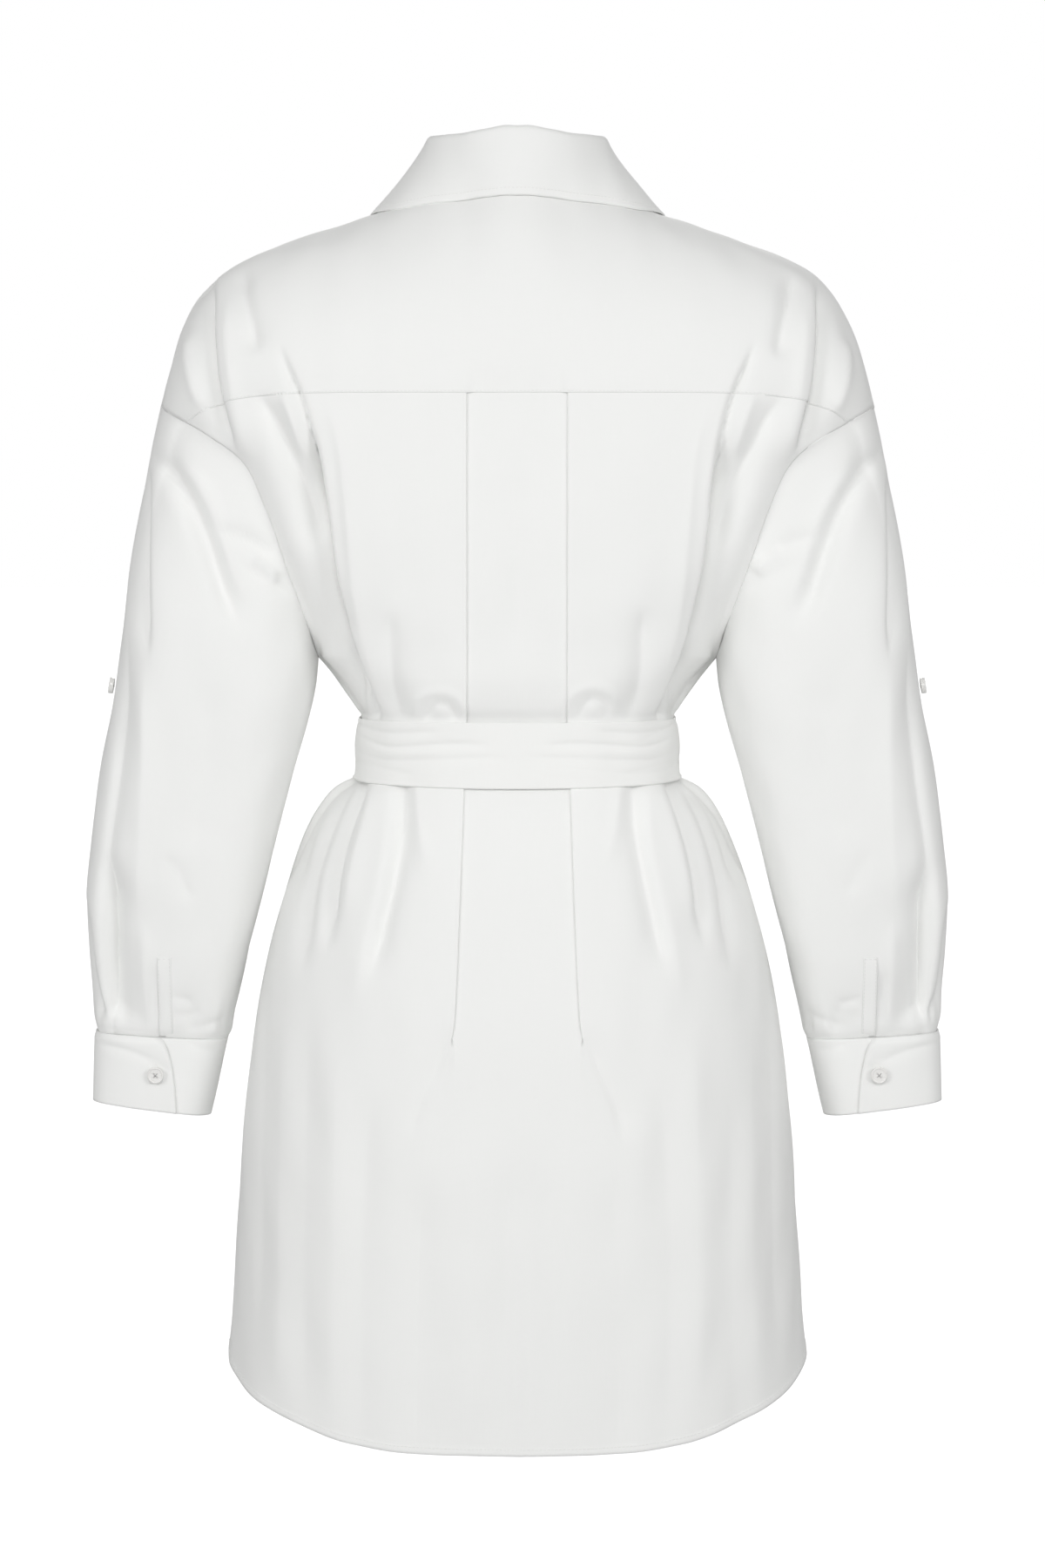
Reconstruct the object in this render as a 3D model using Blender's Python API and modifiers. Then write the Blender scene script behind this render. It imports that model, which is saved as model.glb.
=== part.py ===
"""Shirt dress in white cotton, in the hollow form it has when worn.

Millimetres in the tables, metres in the meshes. +Z is up, the back faces +Y, the wearer's left is +X.
The origin lies between the shoulders at the base of the neck, where the dress is held up.
"""

import math
from collections import namedtuple

import bmesh
import bpy
import numpy as np
from mathutils import Vector

MM = 0.001

# Cloth and seams
CLOTH = 1.0
DOUBLED_CLOTH = 1.8
BELT_WALL = 1.8
SEAM_GAP = 0.3
HALF_GAP = SEAM_GAP / 2

# Heights on the centre line and at the side
YOKE_Z = -140.0
CHEST_Z, UNDERARM_Z = -322.0, -330.0
BELT_TOP_Z, BELT_BOTTOM_Z = -370.8, -417.0
BELT_TOP_SIDE_Z, BELT_BOTTOM_SIDE_Z = -372.0, -414.0
HEM_Z, HEM_SIDE_Z = -877.0, -824.0

BACK, FRONT = 1, -1
LEFT, RIGHT = 1, -1

# Half width of the body at the side seam
Side = namedtuple("Side", "z half_width")
SIDES = (
    Side(-330, 141), Side(-341, 132), Side(-352, 123.5), Side(-360, 117.5), Side(-366, 113.5),
    Side(-371, 108.3), Side(-394, 110.1), Side(-415, 112.7), Side(-420, 123), Side(-427, 133),
    Side(-445, 146.7), Side(-464, 154.8), Side(-501, 167), Side(-538, 177), Side(-576, 185),
    Side(-614, 190), Side(-670, 196), Side(-746, 200.4), Side(-802, 204.4), Side(-824, 206.7),
)

# Depth of the body behind and before the shoulder line
Depth = namedtuple("Depth", "z back front fullness")
DEPTHS = (
    Depth(-140, 96, 98, 2.5), Depth(-200, 98, 112, 2.5), Depth(-250, 97, 117, 2.4),
    Depth(-310, 93, 108, 2.3), Depth(-338, 91.5, 98, 2.2), Depth(-350, 89, 94, 2.2),
    Depth(-361, 85.5, 89, 2.2), Depth(-370, 82, 85, 2.2), Depth(-394, 82.5, 85, 2.2),
    Depth(-418, 84, 86.5, 2.2), Depth(-427, 87.5, 90, 2.2), Depth(-438, 93, 94, 2.2),
    Depth(-455, 99.5, 98.5, 2.2), Depth(-482, 107, 103, 2.2), Depth(-540, 116, 110, 2.2),
    Depth(-600, 122, 114, 2.25), Depth(-700, 127, 118, 2.3), Depth(-800, 130, 120, 2.3),
    Depth(-877, 132, 121, 2.3),
)

# Top line of the shoulder over each place on the yoke seam
Shoulder = namedtuple("Shoulder", "seam_x top_x top_z")
SHOULDERS = (
    Shoulder(0, 0, 24), Shoulder(40, 40, 7), Shoulder(75, 75, -8), Shoulder(100, 100, -19.4),
    Shoulder(127, 127, -25.5), Shoulder(150, 150, -32.6), Shoulder(175, 183, -44),
    Shoulder(190, 205, -56), Shoulder(205, 223, -74), Shoulder(215, 236, -98),
    Shoulder(225, 246, -130), Shoulder(232, 252, -153),
)
YOKE_END = 232.0
FRONT_FULLNESS = 1.7
BACK_FULLNESS = 2.0
FRONT_SEAM_ANGLE = 100.0

# Armhole from the end of the yoke seam down to the underarm, behind the arm
Armhole = namedtuple("Armhole", "x y z")
ARMHOLE = (
    Armhole(232, 40, -163), Armhole(216, 50, -172), Armhole(190, 52, -192),
    Armhole(176, 48, -222), Armhole(163, 40, -260), Armhole(150, 28, -298),
    Armhole(143, 13, -322), Armhole(141, 0, -330),
)
FRONT_ARMHOLE_DEPTH = 0.92

# Rise of the curved hem from the centre line to the side seam, as shares
HemRise = namedtuple("HemRise", "across rise")
HEM_RISES = (
    HemRise(0, 0), HemRise(0.25, 0.01), HemRise(0.45, 0.08), HemRise(0.65, 0.28),
    HemRise(0.8, 0.56), HemRise(0.9, 0.8), HemRise(1, 1),
)

# Neckline seen from above: half ellipses behind and before its widest point
NECK_HALF_WIDTH = 72.0
NECK_CENTRE_Y = -7.0
NECK_BACK, NECK_FRONT = 55.0, 71.0

# The two back pleats: place of the folded edge, cloth laid under it, height of the step.
# Where the pleat has opened out, the cloth under it is negative: the width over which the step eases out.
Pleat = namedtuple("Pleat", "z edge under step")
PLEATS = (
    Pleat(-140, 35.5, 24, 1), Pleat(-367, 35.5, 24, 1), Pleat(-417, 37.5, 24, 1),
    Pleat(-500, 40, 22, 1), Pleat(-585, 43.5, 14, 1), Pleat(-597, 49, 0, 1), Pleat(-608, 54, -8, 1),
    Pleat(-650, 65, -26, 0.6), Pleat(-740, 72, -44, 0.2), Pleat(-877, 74, -52, 0),
)
PLEAT_LAYER = 1.9
PLEAT_FADE = 60.0

# Creases: a path on one face in x and z, pressed in by its depth (a negative depth raises a ridge)
CREASE_END_SHARE = 0.25
Crease = namedtuple("Crease", "face depth width path")
BODY_CREASES = (
    Crease(BACK, 7, 9, ((209, -62), (208, -111), (202, -138), (195, -172), (189, -195))),
    Crease(BACK, 6, 8, ((156, -126), (138, -171), (130, -207), (125, -244), (117, -290), (102, -362))),
    Crease(BACK, -4, 11, ((136, -140), (118, -180), (108, -235), (98, -300), (86, -356))),
    Crease(BACK, 3.5, 8, ((182, -148), (157, -178), (145, -212), (138, -250))),
    Crease(BACK, 3, 6, ((80, -330), (78, -366))),
    Crease(BACK, 5, 7, ((80, -420), (84, -455), (95, -501), (102, -535))),
    Crease(BACK, -3, 7, ((67, -422), (72, -460), (80, -510))),
    Crease(BACK, 5, 7, ((105, -420), (117, -455), (127, -490))),
    Crease(BACK, -4, 8, ((92, -420), (100, -455), (110, -500))),
    Crease(BACK, 4, 8, ((182, -650), (182, -800))),
    Crease(FRONT, 6, 9, ((200, -80), (196, -130), (188, -180))),
    Crease(FRONT, 5, 10, ((150, -190), (128, -250), (105, -362))),
    Crease(FRONT, 4, 8, ((70, -300), (66, -366))),
    Crease(FRONT, 5, 8, ((50, -420), (54, -470), (62, -540))),
    Crease(FRONT, 5, 8, ((84, -420), (94, -460), (108, -520))),
    Crease(FRONT, 4, 7, ((112, -420), (126, -455), (140, -500))),
    Crease(FRONT, 4, 10, ((150, -620), (158, -800))),
)
SLEEVE_CREASES = (
    Crease(BACK, 5, 10, ((258, -188), (228, -229), (209, -265), (188, -312))),
    Crease(BACK, 4, 10, ((272, -300), (277, -420), (277, -520))),
    Crease(BACK, 3.5, 9, ((180, -238), (204, -264))),
    Crease(BACK, 3.5, 9, ((172, -272), (196, -306))),
    Crease(BACK, 3, 8, ((304, -530), (299, -562), (287, -590))),
    Crease(FRONT, 5, 11, ((250, -200), (214, -250), (196, -310))),
    Crease(FRONT, 4, 11, ((236, -380), (240, -450), (256, -520))),
)

# Sleeve rings: their outermost and innermost points, half depth and lean towards the front
Ring = namedtuple("Ring", "share outer_x outer_z inner_x inner_z half_depth y")
RINGS = (
    Ring(0.00, 252, -153, 141, -330, 50, 0), Ring(0.06, 259, -182, 141.5, -341, 55, 1),
    Ring(0.13, 266, -214, 143, -352, 59, 2), Ring(0.22, 273, -256, 149, -376, 59, 3),
    Ring(0.32, 279, -298, 158, -407, 57, 3), Ring(0.45, 286, -352, 170, -450, 54, 2),
    Ring(0.58, 296, -408, 180, -488, 52, 0), Ring(0.70, 303, -460, 188.5, -523, 50, -3),
    Ring(0.80, 307, -505, 195, -550, 47, -6), Ring(0.88, 306, -538, 200, -570, 43, -8),
    Ring(0.95, 303, -570, 204, -587, 37, -10), Ring(1.00, 301, -596, 206.5, -601, 31, -11),
)
CUFF_RINGS = (
    Ring(0, 301.2, -596.6, 207, -601.6, 31.5, -11), Ring(1, 302.2, -646, 219, -657, 30, -12),
)
SLEEVE_FULLNESS = 2.2
SEAM_SHAPE_SHARE = 0.26
ARMHOLE_TRIM, UNDERARM_TRIM = 1.0, 4.0
CUFF_GATHERS, CUFF_GATHER_HEIGHT, CUFF_GATHER_FROM = 9, 1.5, 0.86

# Cuff lap and sleeve placket, in world x on the back of the arm. The cuff's outer end lies over its inner
# end for the lap's span in degrees, then comes down to it.
CUFF_LAP_X = 247.0
CUFF_UNDERLAP, CUFF_RADIUS = 24.0, 42.0
CUFF_LAYER = 2.4
CUFF_LAP_SPAN, CUFF_LAP_FADE = 48.0, 80.0
PLACKET_X, PLACKET_STRIP = 247.5, 8.0
PLACKET_TOP_Z, PLACKET_FOOT_Z = -539.0, -594.0

# Collar: height of the stand, roll above it, and the fall's edge seen from above
Stand = namedtuple("Stand", "bearing height lean")
STANDS = (Stand(0, 34.5, 2), Stand(45, 38, -6), Stand(90, 38, -12), Stand(135, 33, -9), Stand(180, 27, -4))
Fall = namedtuple("Fall", "share x y lift")
FALLS = (
    Fall(0, 0, 61, 2.8), Fall(0.14, 33, 58, 2.8), Fall(0.27, 60, 49, 2.8), Fall(0.42, 88, 28, 2.8),
    Fall(0.55, 102, -2, 3), Fall(0.68, 97, -38, 4), Fall(0.82, 78, -68, 5), Fall(1, 45, -92, 6),
)
Roll = namedtuple("Roll", "out up")
ROLLS = (Roll(0, 1.3), Roll(1.2, 3.8), Roll(4, 4.4), Roll(6.5, 2.6))
FALL_BULGE = 2.0
FALL_END_BEARING = 176.0
STAND_FOOT = 1.4
STAND_OVERLAP = 11.0
STAND_LAP_GAP = 0.9
STAND_LAP_FROM, STAND_LAP_FADE = 120.0, 40.0

# Buttons
BUTTON_RADIUS, BUTTON_THICK = 5.75, 2.6
BUTTON_GAP = 0.4
TAB_BUTTON_THICK = 3.4
BUTTON_BEVEL = 0.5
BUTTON_SIDES = 10
BUTTON_REACH = 3.0
FRONT_BUTTON_Z = (-108.0, -178.0, -248.0, -318.0, -480.0, -560.0, -640.0)
CUFF_BUTTON_X, CUFF_BUTTON_SHARE = 257.0, 0.5
TAB_BUTTON_SHARE = 0.445

# Front lap: the right front's band over the left front
LAP_HALF_WIDTH = 17.0
LAP_LIFT = 1.5
LAP_FADE = 45.0
UNDERLAP = 14.0

# Belt: a plain sash with a knot and two tails in front
BELT_LIFT = 3.7
KNOT_SIZE = (46.0, 22.0, 44.0)
KNOT_ROUNDING = 7.0
KNOT_Z = -393.0
Tail = namedtuple("Tail", "down x half_width lift")
TAILS = (
    Tail(0, 12, 9, 12), Tail(0.05, 15, 12, 7), Tail(0.15, 20, 15, 3.6), Tail(0.5, 27, 18, 3.4),
    Tail(1, 34, 19, 3.4),
)
TAIL_FOOT_Z = {LEFT: -742.0, RIGHT: -708.0}

# Rows and columns of the cloth walls. The body's run from the yoke seam to the underarm at 1, then to the
# belt's lower edge at 2 and the hem at 3.
ARMHOLE_ROWS = (0.002, 0.12, 0.24, 0.38, 0.53, 0.69, 0.85, 1.0)
BODY_ROWS = (
    *ARMHOLE_ROWS, 1.2, 1.33, 1.43, 1.51, 1.76, 2.003, 2.022, 2.047, 2.09, 2.18, 2.28, 2.365,
    2.39, 2.415, 2.5, 2.7, 3.0,
)
SIDE_STATIONS = 10
FRONT_TOP_ROWS, NECK_STATIONS, LAP_STATIONS = 5, 6, 5
TOP_TRIM, FOOT_TRIM = 0.15, 0.06
YOKE_ROWS, YOKE_NECK_STATIONS = 8, 9
SLEEVE_ROWS = (0, 0.06, 0.15, 0.26, TAB_BUTTON_SHARE, 0.6, 0.76, 0.88, 0.95, 1)
PLACKET_ROWS, PLACKET_COLUMNS = 6, 4
CUFF_ROWS, CUFF_COLUMNS = (0, 0.5, 1), 28
STAND_ROWS, STAND_COLUMNS = (0, 0.5, 1), 30
FALL_ROWS, FALL_COLUMNS = 5, 12
BELT_ROWS, BELT_QUARTER = (0, 0.33, 0.67, 1), 13
TAIL_ROWS, TAIL_COLUMNS = (0, 0.02, 0.05, 0.1, 0.18, 0.3, 0.45, 0.6, 0.8, 1), 4


class Curve:
    """Smooth curve through a table's rows, read by the first column, never past a row's own values."""

    def __init__(self, rows):
        table = np.array(sorted(tuple(row) for row in rows), float)
        self.keys, self.values = table[:, 0], table[:, 1:]
        steps = np.diff(self.keys)[:, None]
        slopes = np.diff(self.values, axis=0) / steps
        inner = np.zeros_like(slopes[1:])
        same_way = slopes[1:] * slopes[:-1] > 0
        before, after = slopes[:-1][same_way], slopes[1:][same_way]
        inner[same_way] = 2 * before * after / (before + after)
        self.slopes = np.vstack((slopes[:1], inner, slopes[-1:]))

    def __call__(self, key):
        key = min(max(key, self.keys[0]), self.keys[-1])
        i = min(int(np.searchsorted(self.keys, key, "right")) - 1, len(self.keys) - 2)
        step = self.keys[i + 1] - self.keys[i]
        t = (key - self.keys[i]) / step
        value = (
            (1 + 2 * t) * (1 - t) ** 2 * self.values[i]
            + t * (1 - t) ** 2 * step * self.slopes[i]
            + t * t * (3 - 2 * t) * self.values[i + 1]
            + t * t * (t - 1) * step * self.slopes[i + 1]
        )
        return value if len(value) > 1 else float(value[0])


class Route:
    """Polyline in space, read by the share of its length."""

    def __init__(self, points):
        self.points = np.array(points, float)
        steps = np.linalg.norm(np.diff(self.points, axis=0), axis=1)
        self.length = np.concatenate(([0], np.cumsum(steps)))

    def at(self, share):
        along = share * self.length[-1]
        return np.array([np.interp(along, self.length, self.points[:, i]) for i in range(3)])


def smooth_route(points, per_leg=12):
    """Route on a Catmull-Rom curve through the points."""
    known = [np.array(p, float) for p in points]
    known = [2 * known[0] - known[1], *known, 2 * known[-1] - known[-2]]
    curve = []
    for a, b, c, d in zip(known, known[1:], known[2:], known[3:]):
        for i in range(per_leg):
            t = i / per_leg
            curve.append(
                b + 0.5 * t * (c - a) + t * t * (a - 2.5 * b + 2 * c - 0.5 * d)
                + t ** 3 * (1.5 * b - 0.5 * a - 1.5 * c + 0.5 * d)
            )
    return Route([*curve, known[-2]])


def lerp(a, b, t):
    return a + (b - a) * t


def smooth(t):
    t = min(max(t, 0.0), 1.0)
    return t * t * (3 - 2 * t)


side_at = Curve(SIDES)
depth_at = Curve(DEPTHS)
shoulder_at = Curve(SHOULDERS)
hem_rise_at = Curve(HEM_RISES)
pleat_at = Curve(PLEATS)
ring_at = Curve(RINGS)
cuff_ring_at = Curve(CUFF_RINGS)
stand_at = Curve(STANDS)
fall_edge_at = Curve(FALLS)
tail_at = Curve(TAILS)
armhole = smooth_route(ARMHOLE)


def distance_to_path(x, z, path):
    """Distance from the path and the share of the path at its nearest point."""
    nearest, share = 1e9, 0.0
    legs = len(path) - 1
    for i, ((ax, az), (bx, bz)) in enumerate(zip(path, path[1:])):
        run_x, run_z = bx - ax, bz - az
        t = ((x - ax) * run_x + (z - az) * run_z) / (run_x ** 2 + run_z ** 2)
        t = min(max(t, 0.0), 1.0)
        d = math.hypot(x - ax - t * run_x, z - az - t * run_z)
        if d < nearest:
            nearest, share = d, (i + t) / legs
    return nearest, share


def relief(creases, face, x, z):
    """How far the cloth stands out from its plain form here: troughs below it, ridges above."""
    total = 0.0
    for crease in creases:
        if crease.face != face:
            continue
        away, share = distance_to_path(abs(x), z, crease.path)
        if away < 3 * crease.width:
            ends = smooth(share / CREASE_END_SHARE) * smooth((1 - share) / CREASE_END_SHARE)
            total -= crease.depth * ends * math.exp(-((away / crease.width) ** 2))
    return total


def sag(t):
    """Rise from the centre line to the side of a row that hangs a little in the middle."""
    return t ** 1.6


class Row:
    """One row of the body on one face, read by the length from the centre line."""

    STEPS = 160

    def __init__(self, face, centre_z, edge, bow):
        back, front, fullness = depth_at(centre_z)
        self.face, self.centre_z, self.edge_z, self.bow = face, centre_z, edge[2], bow
        angle = np.linspace(0, math.pi / 2, self.STEPS + 1)
        depth = back if face == BACK else front
        self.x = edge[0] * np.sin(angle) ** (2 / fullness)
        self.y = edge[1] + (depth - edge[1]) * np.cos(angle) ** (2 / fullness)
        steps = np.hypot(np.diff(self.x), np.diff(self.y))
        self.lengths = np.concatenate(([0], np.cumsum(steps)))
        self.tangent_x = np.gradient(self.x, self.lengths)
        self.tangent_y = np.gradient(self.y, self.lengths)
        self.length = self.lengths[-1]

    def level(self, along):
        return lerp(self.centre_z, self.edge_z, self.bow(min(abs(along) / self.length, 1.0)))

    def place(self, along, lift=0.0, side=LEFT, creased=True):
        """Point at this length from the centre line, moved outward by lift."""
        side = side if along >= 0 else -side
        along = abs(along)
        x = float(np.interp(along, self.lengths, self.x))
        y = float(np.interp(along, self.lengths, self.y))
        tx = float(np.interp(along, self.lengths, self.tangent_x))
        ty = float(np.interp(along, self.lengths, self.tangent_y))
        z = self.level(along)
        size = math.hypot(tx, ty)
        if creased:
            lift += relief(BODY_CREASES, self.face, x, z)
        return np.array((side * (x - lift * ty / size), self.face * (y + lift * tx / size), z))


def armhole_edge(face, share):
    x, y, z = armhole.at(share)
    return x, y if face == BACK else y * FRONT_ARMHOLE_DEPTH, z


def body_row(face, v):
    """Rows of the body: 0 is the yoke seam, 1 the underarm, 2 the lower edge of the belt, 3 the hem."""
    if v <= 1:
        return Row(face, lerp(YOKE_Z, CHEST_Z, v), armhole_edge(face, v), sag)
    if v <= 2:
        edge_z = lerp(UNDERARM_Z, BELT_BOTTOM_SIDE_Z, v - 1)
        edge = (side_at(edge_z), 0, edge_z)
        return Row(face, lerp(CHEST_Z, BELT_BOTTOM_Z, v - 1), edge, sag)
    edge_z = lerp(BELT_BOTTOM_SIDE_Z, HEM_SIDE_Z, v - 2)
    edge = (side_at(edge_z), 0, edge_z)
    return Row(face, lerp(BELT_BOTTOM_Z, HEM_Z, v - 2), edge, hem_rise_at)


class Shoulders:
    """The body above the yoke seam: arches over the shoulder, from the back seam to its height in front."""

    def __init__(self):
        self.rows = {BACK: body_row(BACK, 0), FRONT: body_row(FRONT, 0)}

    def base(self, seam_x, angle):
        """Point over this place on the yoke seam: 0 at the back seam, 90 on top, 180 in front."""
        face = BACK if angle <= 90 else FRONT
        row = self.rows[face]
        turn = math.radians(angle if face == BACK else 180 - angle)
        foot = row.place(float(np.interp(seam_x, row.x, row.lengths)), creased=False)
        top_x, top_z = shoulder_at(seam_x)
        power = 2 / (BACK_FULLNESS if face == BACK else FRONT_FULLNESS)
        rise = max(math.sin(turn), 0.0) ** power
        reach = max(math.cos(turn), 0.0) ** power
        x = lerp(foot[0], top_x, rise)
        return np.array((x, foot[1] * reach, lerp(foot[2], top_z, rise)))

    def place(self, seam_x, angle, lift=0.0):
        """The same point with its creases, moved outward by lift."""
        side = 1 if seam_x >= 0 else -1
        seam_x = min(abs(seam_x), YOKE_END)
        here = self.base(seam_x, angle)
        low_x, high_x = max(seam_x - 2, 0), min(seam_x + 2, YOKE_END)
        low_angle, high_angle = max(angle - 2, 0), min(angle + 2, 180)
        across = self.base(high_x, angle) - self.base(low_x, angle)
        over = self.base(seam_x, high_angle) - self.base(seam_x, low_angle)
        normal = np.cross(across, over)
        normal /= -np.linalg.norm(normal)
        lift += relief(BODY_CREASES, BACK if angle <= 90 else FRONT, here[0], here[2])
        here = here + normal * lift
        return np.array((side * here[0], here[1], here[2]))

    def angle_at(self, seam_x, y):
        """Angle at which the arch over this place crosses y."""
        low, high = 0.0, 180.0
        for _ in range(40):
            middle = (low + high) / 2
            if self.base(abs(seam_x), middle)[1] > y:
                low = middle
            else:
                high = middle
        return low


shoulders = Shoulders()


def neck_y(x, face):
    reach = math.sqrt(max(1 - (x / NECK_HALF_WIDTH) ** 2, 0.0))
    return NECK_CENTRE_Y + reach * (NECK_BACK if face == BACK else -NECK_FRONT)


def neck_angle(x, face):
    """Angle on the shoulder arch at which the neckline crosses it."""
    return shoulders.angle_at(x, neck_y(abs(x), face))


def neckline(bearing):
    """Neckline by its bearing seen from above: 0 at the centre back, 180 at the centre front."""
    turn = math.radians(bearing)
    x = NECK_HALF_WIDTH * math.sin(turn)
    face = BACK if math.cos(turn) >= 0 else FRONT
    point = shoulders.base(abs(x), neck_angle(x, face))
    return np.array((math.copysign(point[0], x), point[1], point[2]))


def front_corner_bearing():
    """Where the neckline meets the front yoke seam."""
    low, high = 90.0, 150.0
    for _ in range(30):
        middle = (low + high) / 2
        if neck_angle(NECK_HALF_WIDTH * math.sin(math.radians(middle)), FRONT) < FRONT_SEAM_ANGLE:
            low = middle
        else:
            high = middle
    return low


CORNER_BEARING = front_corner_bearing()
CORNER_X = NECK_HALF_WIDTH * math.sin(math.radians(CORNER_BEARING))


class ArmholeLoop:
    """Half of the armhole on one face, from the top of the shoulder to the underarm."""

    def __init__(self, face):
        self.angles = np.arange(0, 91, 5.0)
        over = [shoulders.base(YOKE_END, 90 - face * angle) for angle in self.angles]
        under = [armhole_edge(face, i / 60) for i in range(1, 61)]
        self.route = Route([*over, *[(x, face * y, z) for x, y, z in under]])
        self.over_shares = self.route.length[: len(over)] / self.route.length[-1]

    def share_over(self, angle):
        """Share of the loop at an angle of the shoulder arch, counted from its top."""
        return float(np.interp(angle, self.angles, self.over_shares))

    def share_under(self, v):
        """Share of the loop at a row of the body between the yoke seam and the underarm."""
        return lerp(self.over_shares[-1], 1.0, v)


ARMHOLE_LOOPS = {BACK: ArmholeLoop(BACK), FRONT: ArmholeLoop(FRONT)}


def power_turn(turn, fullness):
    """Signed cosine and sine of a rounded ring."""
    c, s = math.cos(turn), math.sin(turn)
    return (
        math.copysign(abs(c) ** (2 / fullness), c),
        math.copysign(abs(s) ** (2 / fullness), s),
    )


def ring_point(table, turn, share, fullness=SLEEVE_FULLNESS):
    """Point on a slanted ring of the arm: turn 0 outside, 90 behind, 180 inside, 270 in front."""
    outer_x, outer_z, inner_x, inner_z, half_depth, y = table(share)
    c, s = power_turn(math.radians(turn), fullness)
    return np.array((
        (outer_x + inner_x) / 2 + c * (outer_x - inner_x) / 2,
        y + s * half_depth,
        (outer_z + inner_z) / 2 + c * (outer_z - inner_z) / 2,
    ))


def sleeve_base(turn, share):
    """Sleeve without creases: the armhole's own form at the top, rings of the arm below it."""
    turn %= 360
    plain = ring_point(ring_at, turn, share)
    if share >= SEAM_SHAPE_SHARE:
        return plain
    held = (1 - share / SEAM_SHAPE_SHARE) ** 2
    face = BACK if turn <= 180 else FRONT
    down = turn / 180 if face == BACK else (360 - turn) / 180
    return lerp(plain, ARMHOLE_LOOPS[face].route.at(down), held)


def moved_out(base, turn, share, lift, turn_step=1.5, share_step=0.006):
    """Point of a ring surface moved along its outward normal."""
    here = base(turn, share)
    low, high = max(share - share_step, 0), min(share + share_step, 1)
    around = base(turn + turn_step, share) - base(turn - turn_step, share)
    down = base(turn, high) - base(turn, low)
    normal = np.cross(around, down)
    return here - normal / np.linalg.norm(normal) * lift


def sleeve_place(turn, share, lift=0.0):
    """Point of the sleeve with its creases and the gathers into the cuff, moved outward by lift."""
    here = sleeve_base(turn, share)
    face = BACK if (turn % 360) <= 180 else FRONT
    depth = abs(math.sin(math.radians(turn)))
    creased = relief(SLEEVE_CREASES, face, here[0], here[2]) * smooth(depth / 0.35)
    drawn_in = smooth((share - CUFF_GATHER_FROM) / (1 - CUFF_GATHER_FROM))
    gathers = CUFF_GATHER_HEIGHT * drawn_in * math.sin(math.radians(CUFF_GATHERS * turn))
    return moved_out(sleeve_base, turn, share, lift + creased + gathers)


def cuff_base(turn, share):
    return ring_point(cuff_ring_at, turn, share)


def turn_at_x(table, share, x):
    """Turn on the back of a ring at which it crosses x."""
    outer_x, _, inner_x, _, _, _ = table(share)
    c = (x - (outer_x + inner_x) / 2) / ((outer_x - inner_x) / 2)
    return math.degrees(math.acos(math.copysign(abs(c) ** (SLEEVE_FULLNESS / 2), c)))


def sleeve_share_at(x, z):
    """Share of the sleeve at which its back crosses this place."""
    low, high = SEAM_SHAPE_SHARE, 1.0
    for _ in range(30):
        middle = (low + high) / 2
        if ring_point(ring_at, turn_at_x(ring_at, middle, x), middle)[2] > z:
            low = middle
        else:
            high = middle
    return low


# ---------------------------------------------------------------- meshes


def clear_scene():
    for obj in list(bpy.data.objects):
        bpy.data.objects.remove(obj, do_unlink=True)


def material(name, colour, roughness):
    made = bpy.data.materials.new(name)
    made.use_nodes = True
    shader = made.node_tree.nodes["Principled BSDF"]
    shader.inputs["Base Color"].default_value = (*colour, 1)
    shader.inputs["Roughness"].default_value = roughness
    shader.inputs["Metallic"].default_value = 0.0
    return made


clear_scene()
dress = bpy.data.collections.new("shirt_dress")
bpy.context.scene.collection.children.link(dress)
COTTON = material("white_cotton", (0.86, 0.86, 0.84), 0.85)
BELT_COTTON = material("belt_cotton", (0.84, 0.84, 0.82), 0.85)
BUTTON_WHITE = material("button_white", (0.88, 0.88, 0.86), 0.35)


def add_object(name, mesh, look):
    obj = bpy.data.objects.new(name, mesh)
    mesh.materials.append(look)
    dress.objects.link(obj)
    return obj


def cloth(name, grid, wall, look=COTTON, ring=False, flip=False):
    """Cloth wall on a grid of points in rows: an open surface, thickened evenly to both sides."""
    rows, columns = len(grid), len(grid[0])
    points = [Vector(point) * MM for row in grid for point in row]
    faces = []
    for i in range(rows - 1):
        for j in range(columns if ring else columns - 1):
            k = (j + 1) % columns
            corners = (i * columns + j, i * columns + k, (i + 1) * columns + k, (i + 1) * columns + j)
            faces.append(corners[::-1] if flip else corners)
    mesh = bpy.data.meshes.new(name)
    mesh.from_pydata(points, [], faces)
    mesh.shade_smooth()
    obj = add_object(name, mesh, look)
    shell = obj.modifiers.new("wall", "SOLIDIFY")
    shell.thickness = wall * MM
    shell.offset = 0
    shell.use_even_offset = False
    return obj


# ---------------------------------------------------------------- body


def pleat_stations(z):
    """Half the pleated back as length from the centre line and lift: the centre panel, the cloth turned
    under the side panel, and that panel's folded edge. Below the pleat's end they open into a low step."""
    edge, under, step = pleat_at(z)
    layer = PLEAT_LAYER * step
    bulge = layer / 2 * smooth((under + 2) / 6)
    spread = min(max(-under, 0) * 0.3, 4)
    inner = edge + under
    slant = layer * lerp(0.5, 0, smooth((under - 4) / 10))
    turn = lerp(layer, slant, 0.5)
    centre = [share * (min(inner, edge) - spread) for share in (0, 0.5, 0.86)]
    laid = [*centre, lerp(centre[-1], inner - spread, 0.6), inner - spread]
    return [
        *[(along, -layer) for along in laid],
        (inner + bulge, -turn), (inner + spread, -slant), (edge - spread, slant), (edge - bulge, turn),
        (edge + spread, layer), (edge + 7, layer), (edge + max(under, 8) + 3, layer),
    ]


def back_stations(row):
    stations = pleat_stations(row.centre_z)
    last, lift = stations[-1]
    end = row.length - HALF_GAP
    for i in range(1, SIDE_STATIONS + 1):
        along = lerp(last, end, i / SIDE_STATIONS)
        stations.append((along, lift * (1 - smooth((along - last) / PLEAT_FADE))))
    return stations


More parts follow.
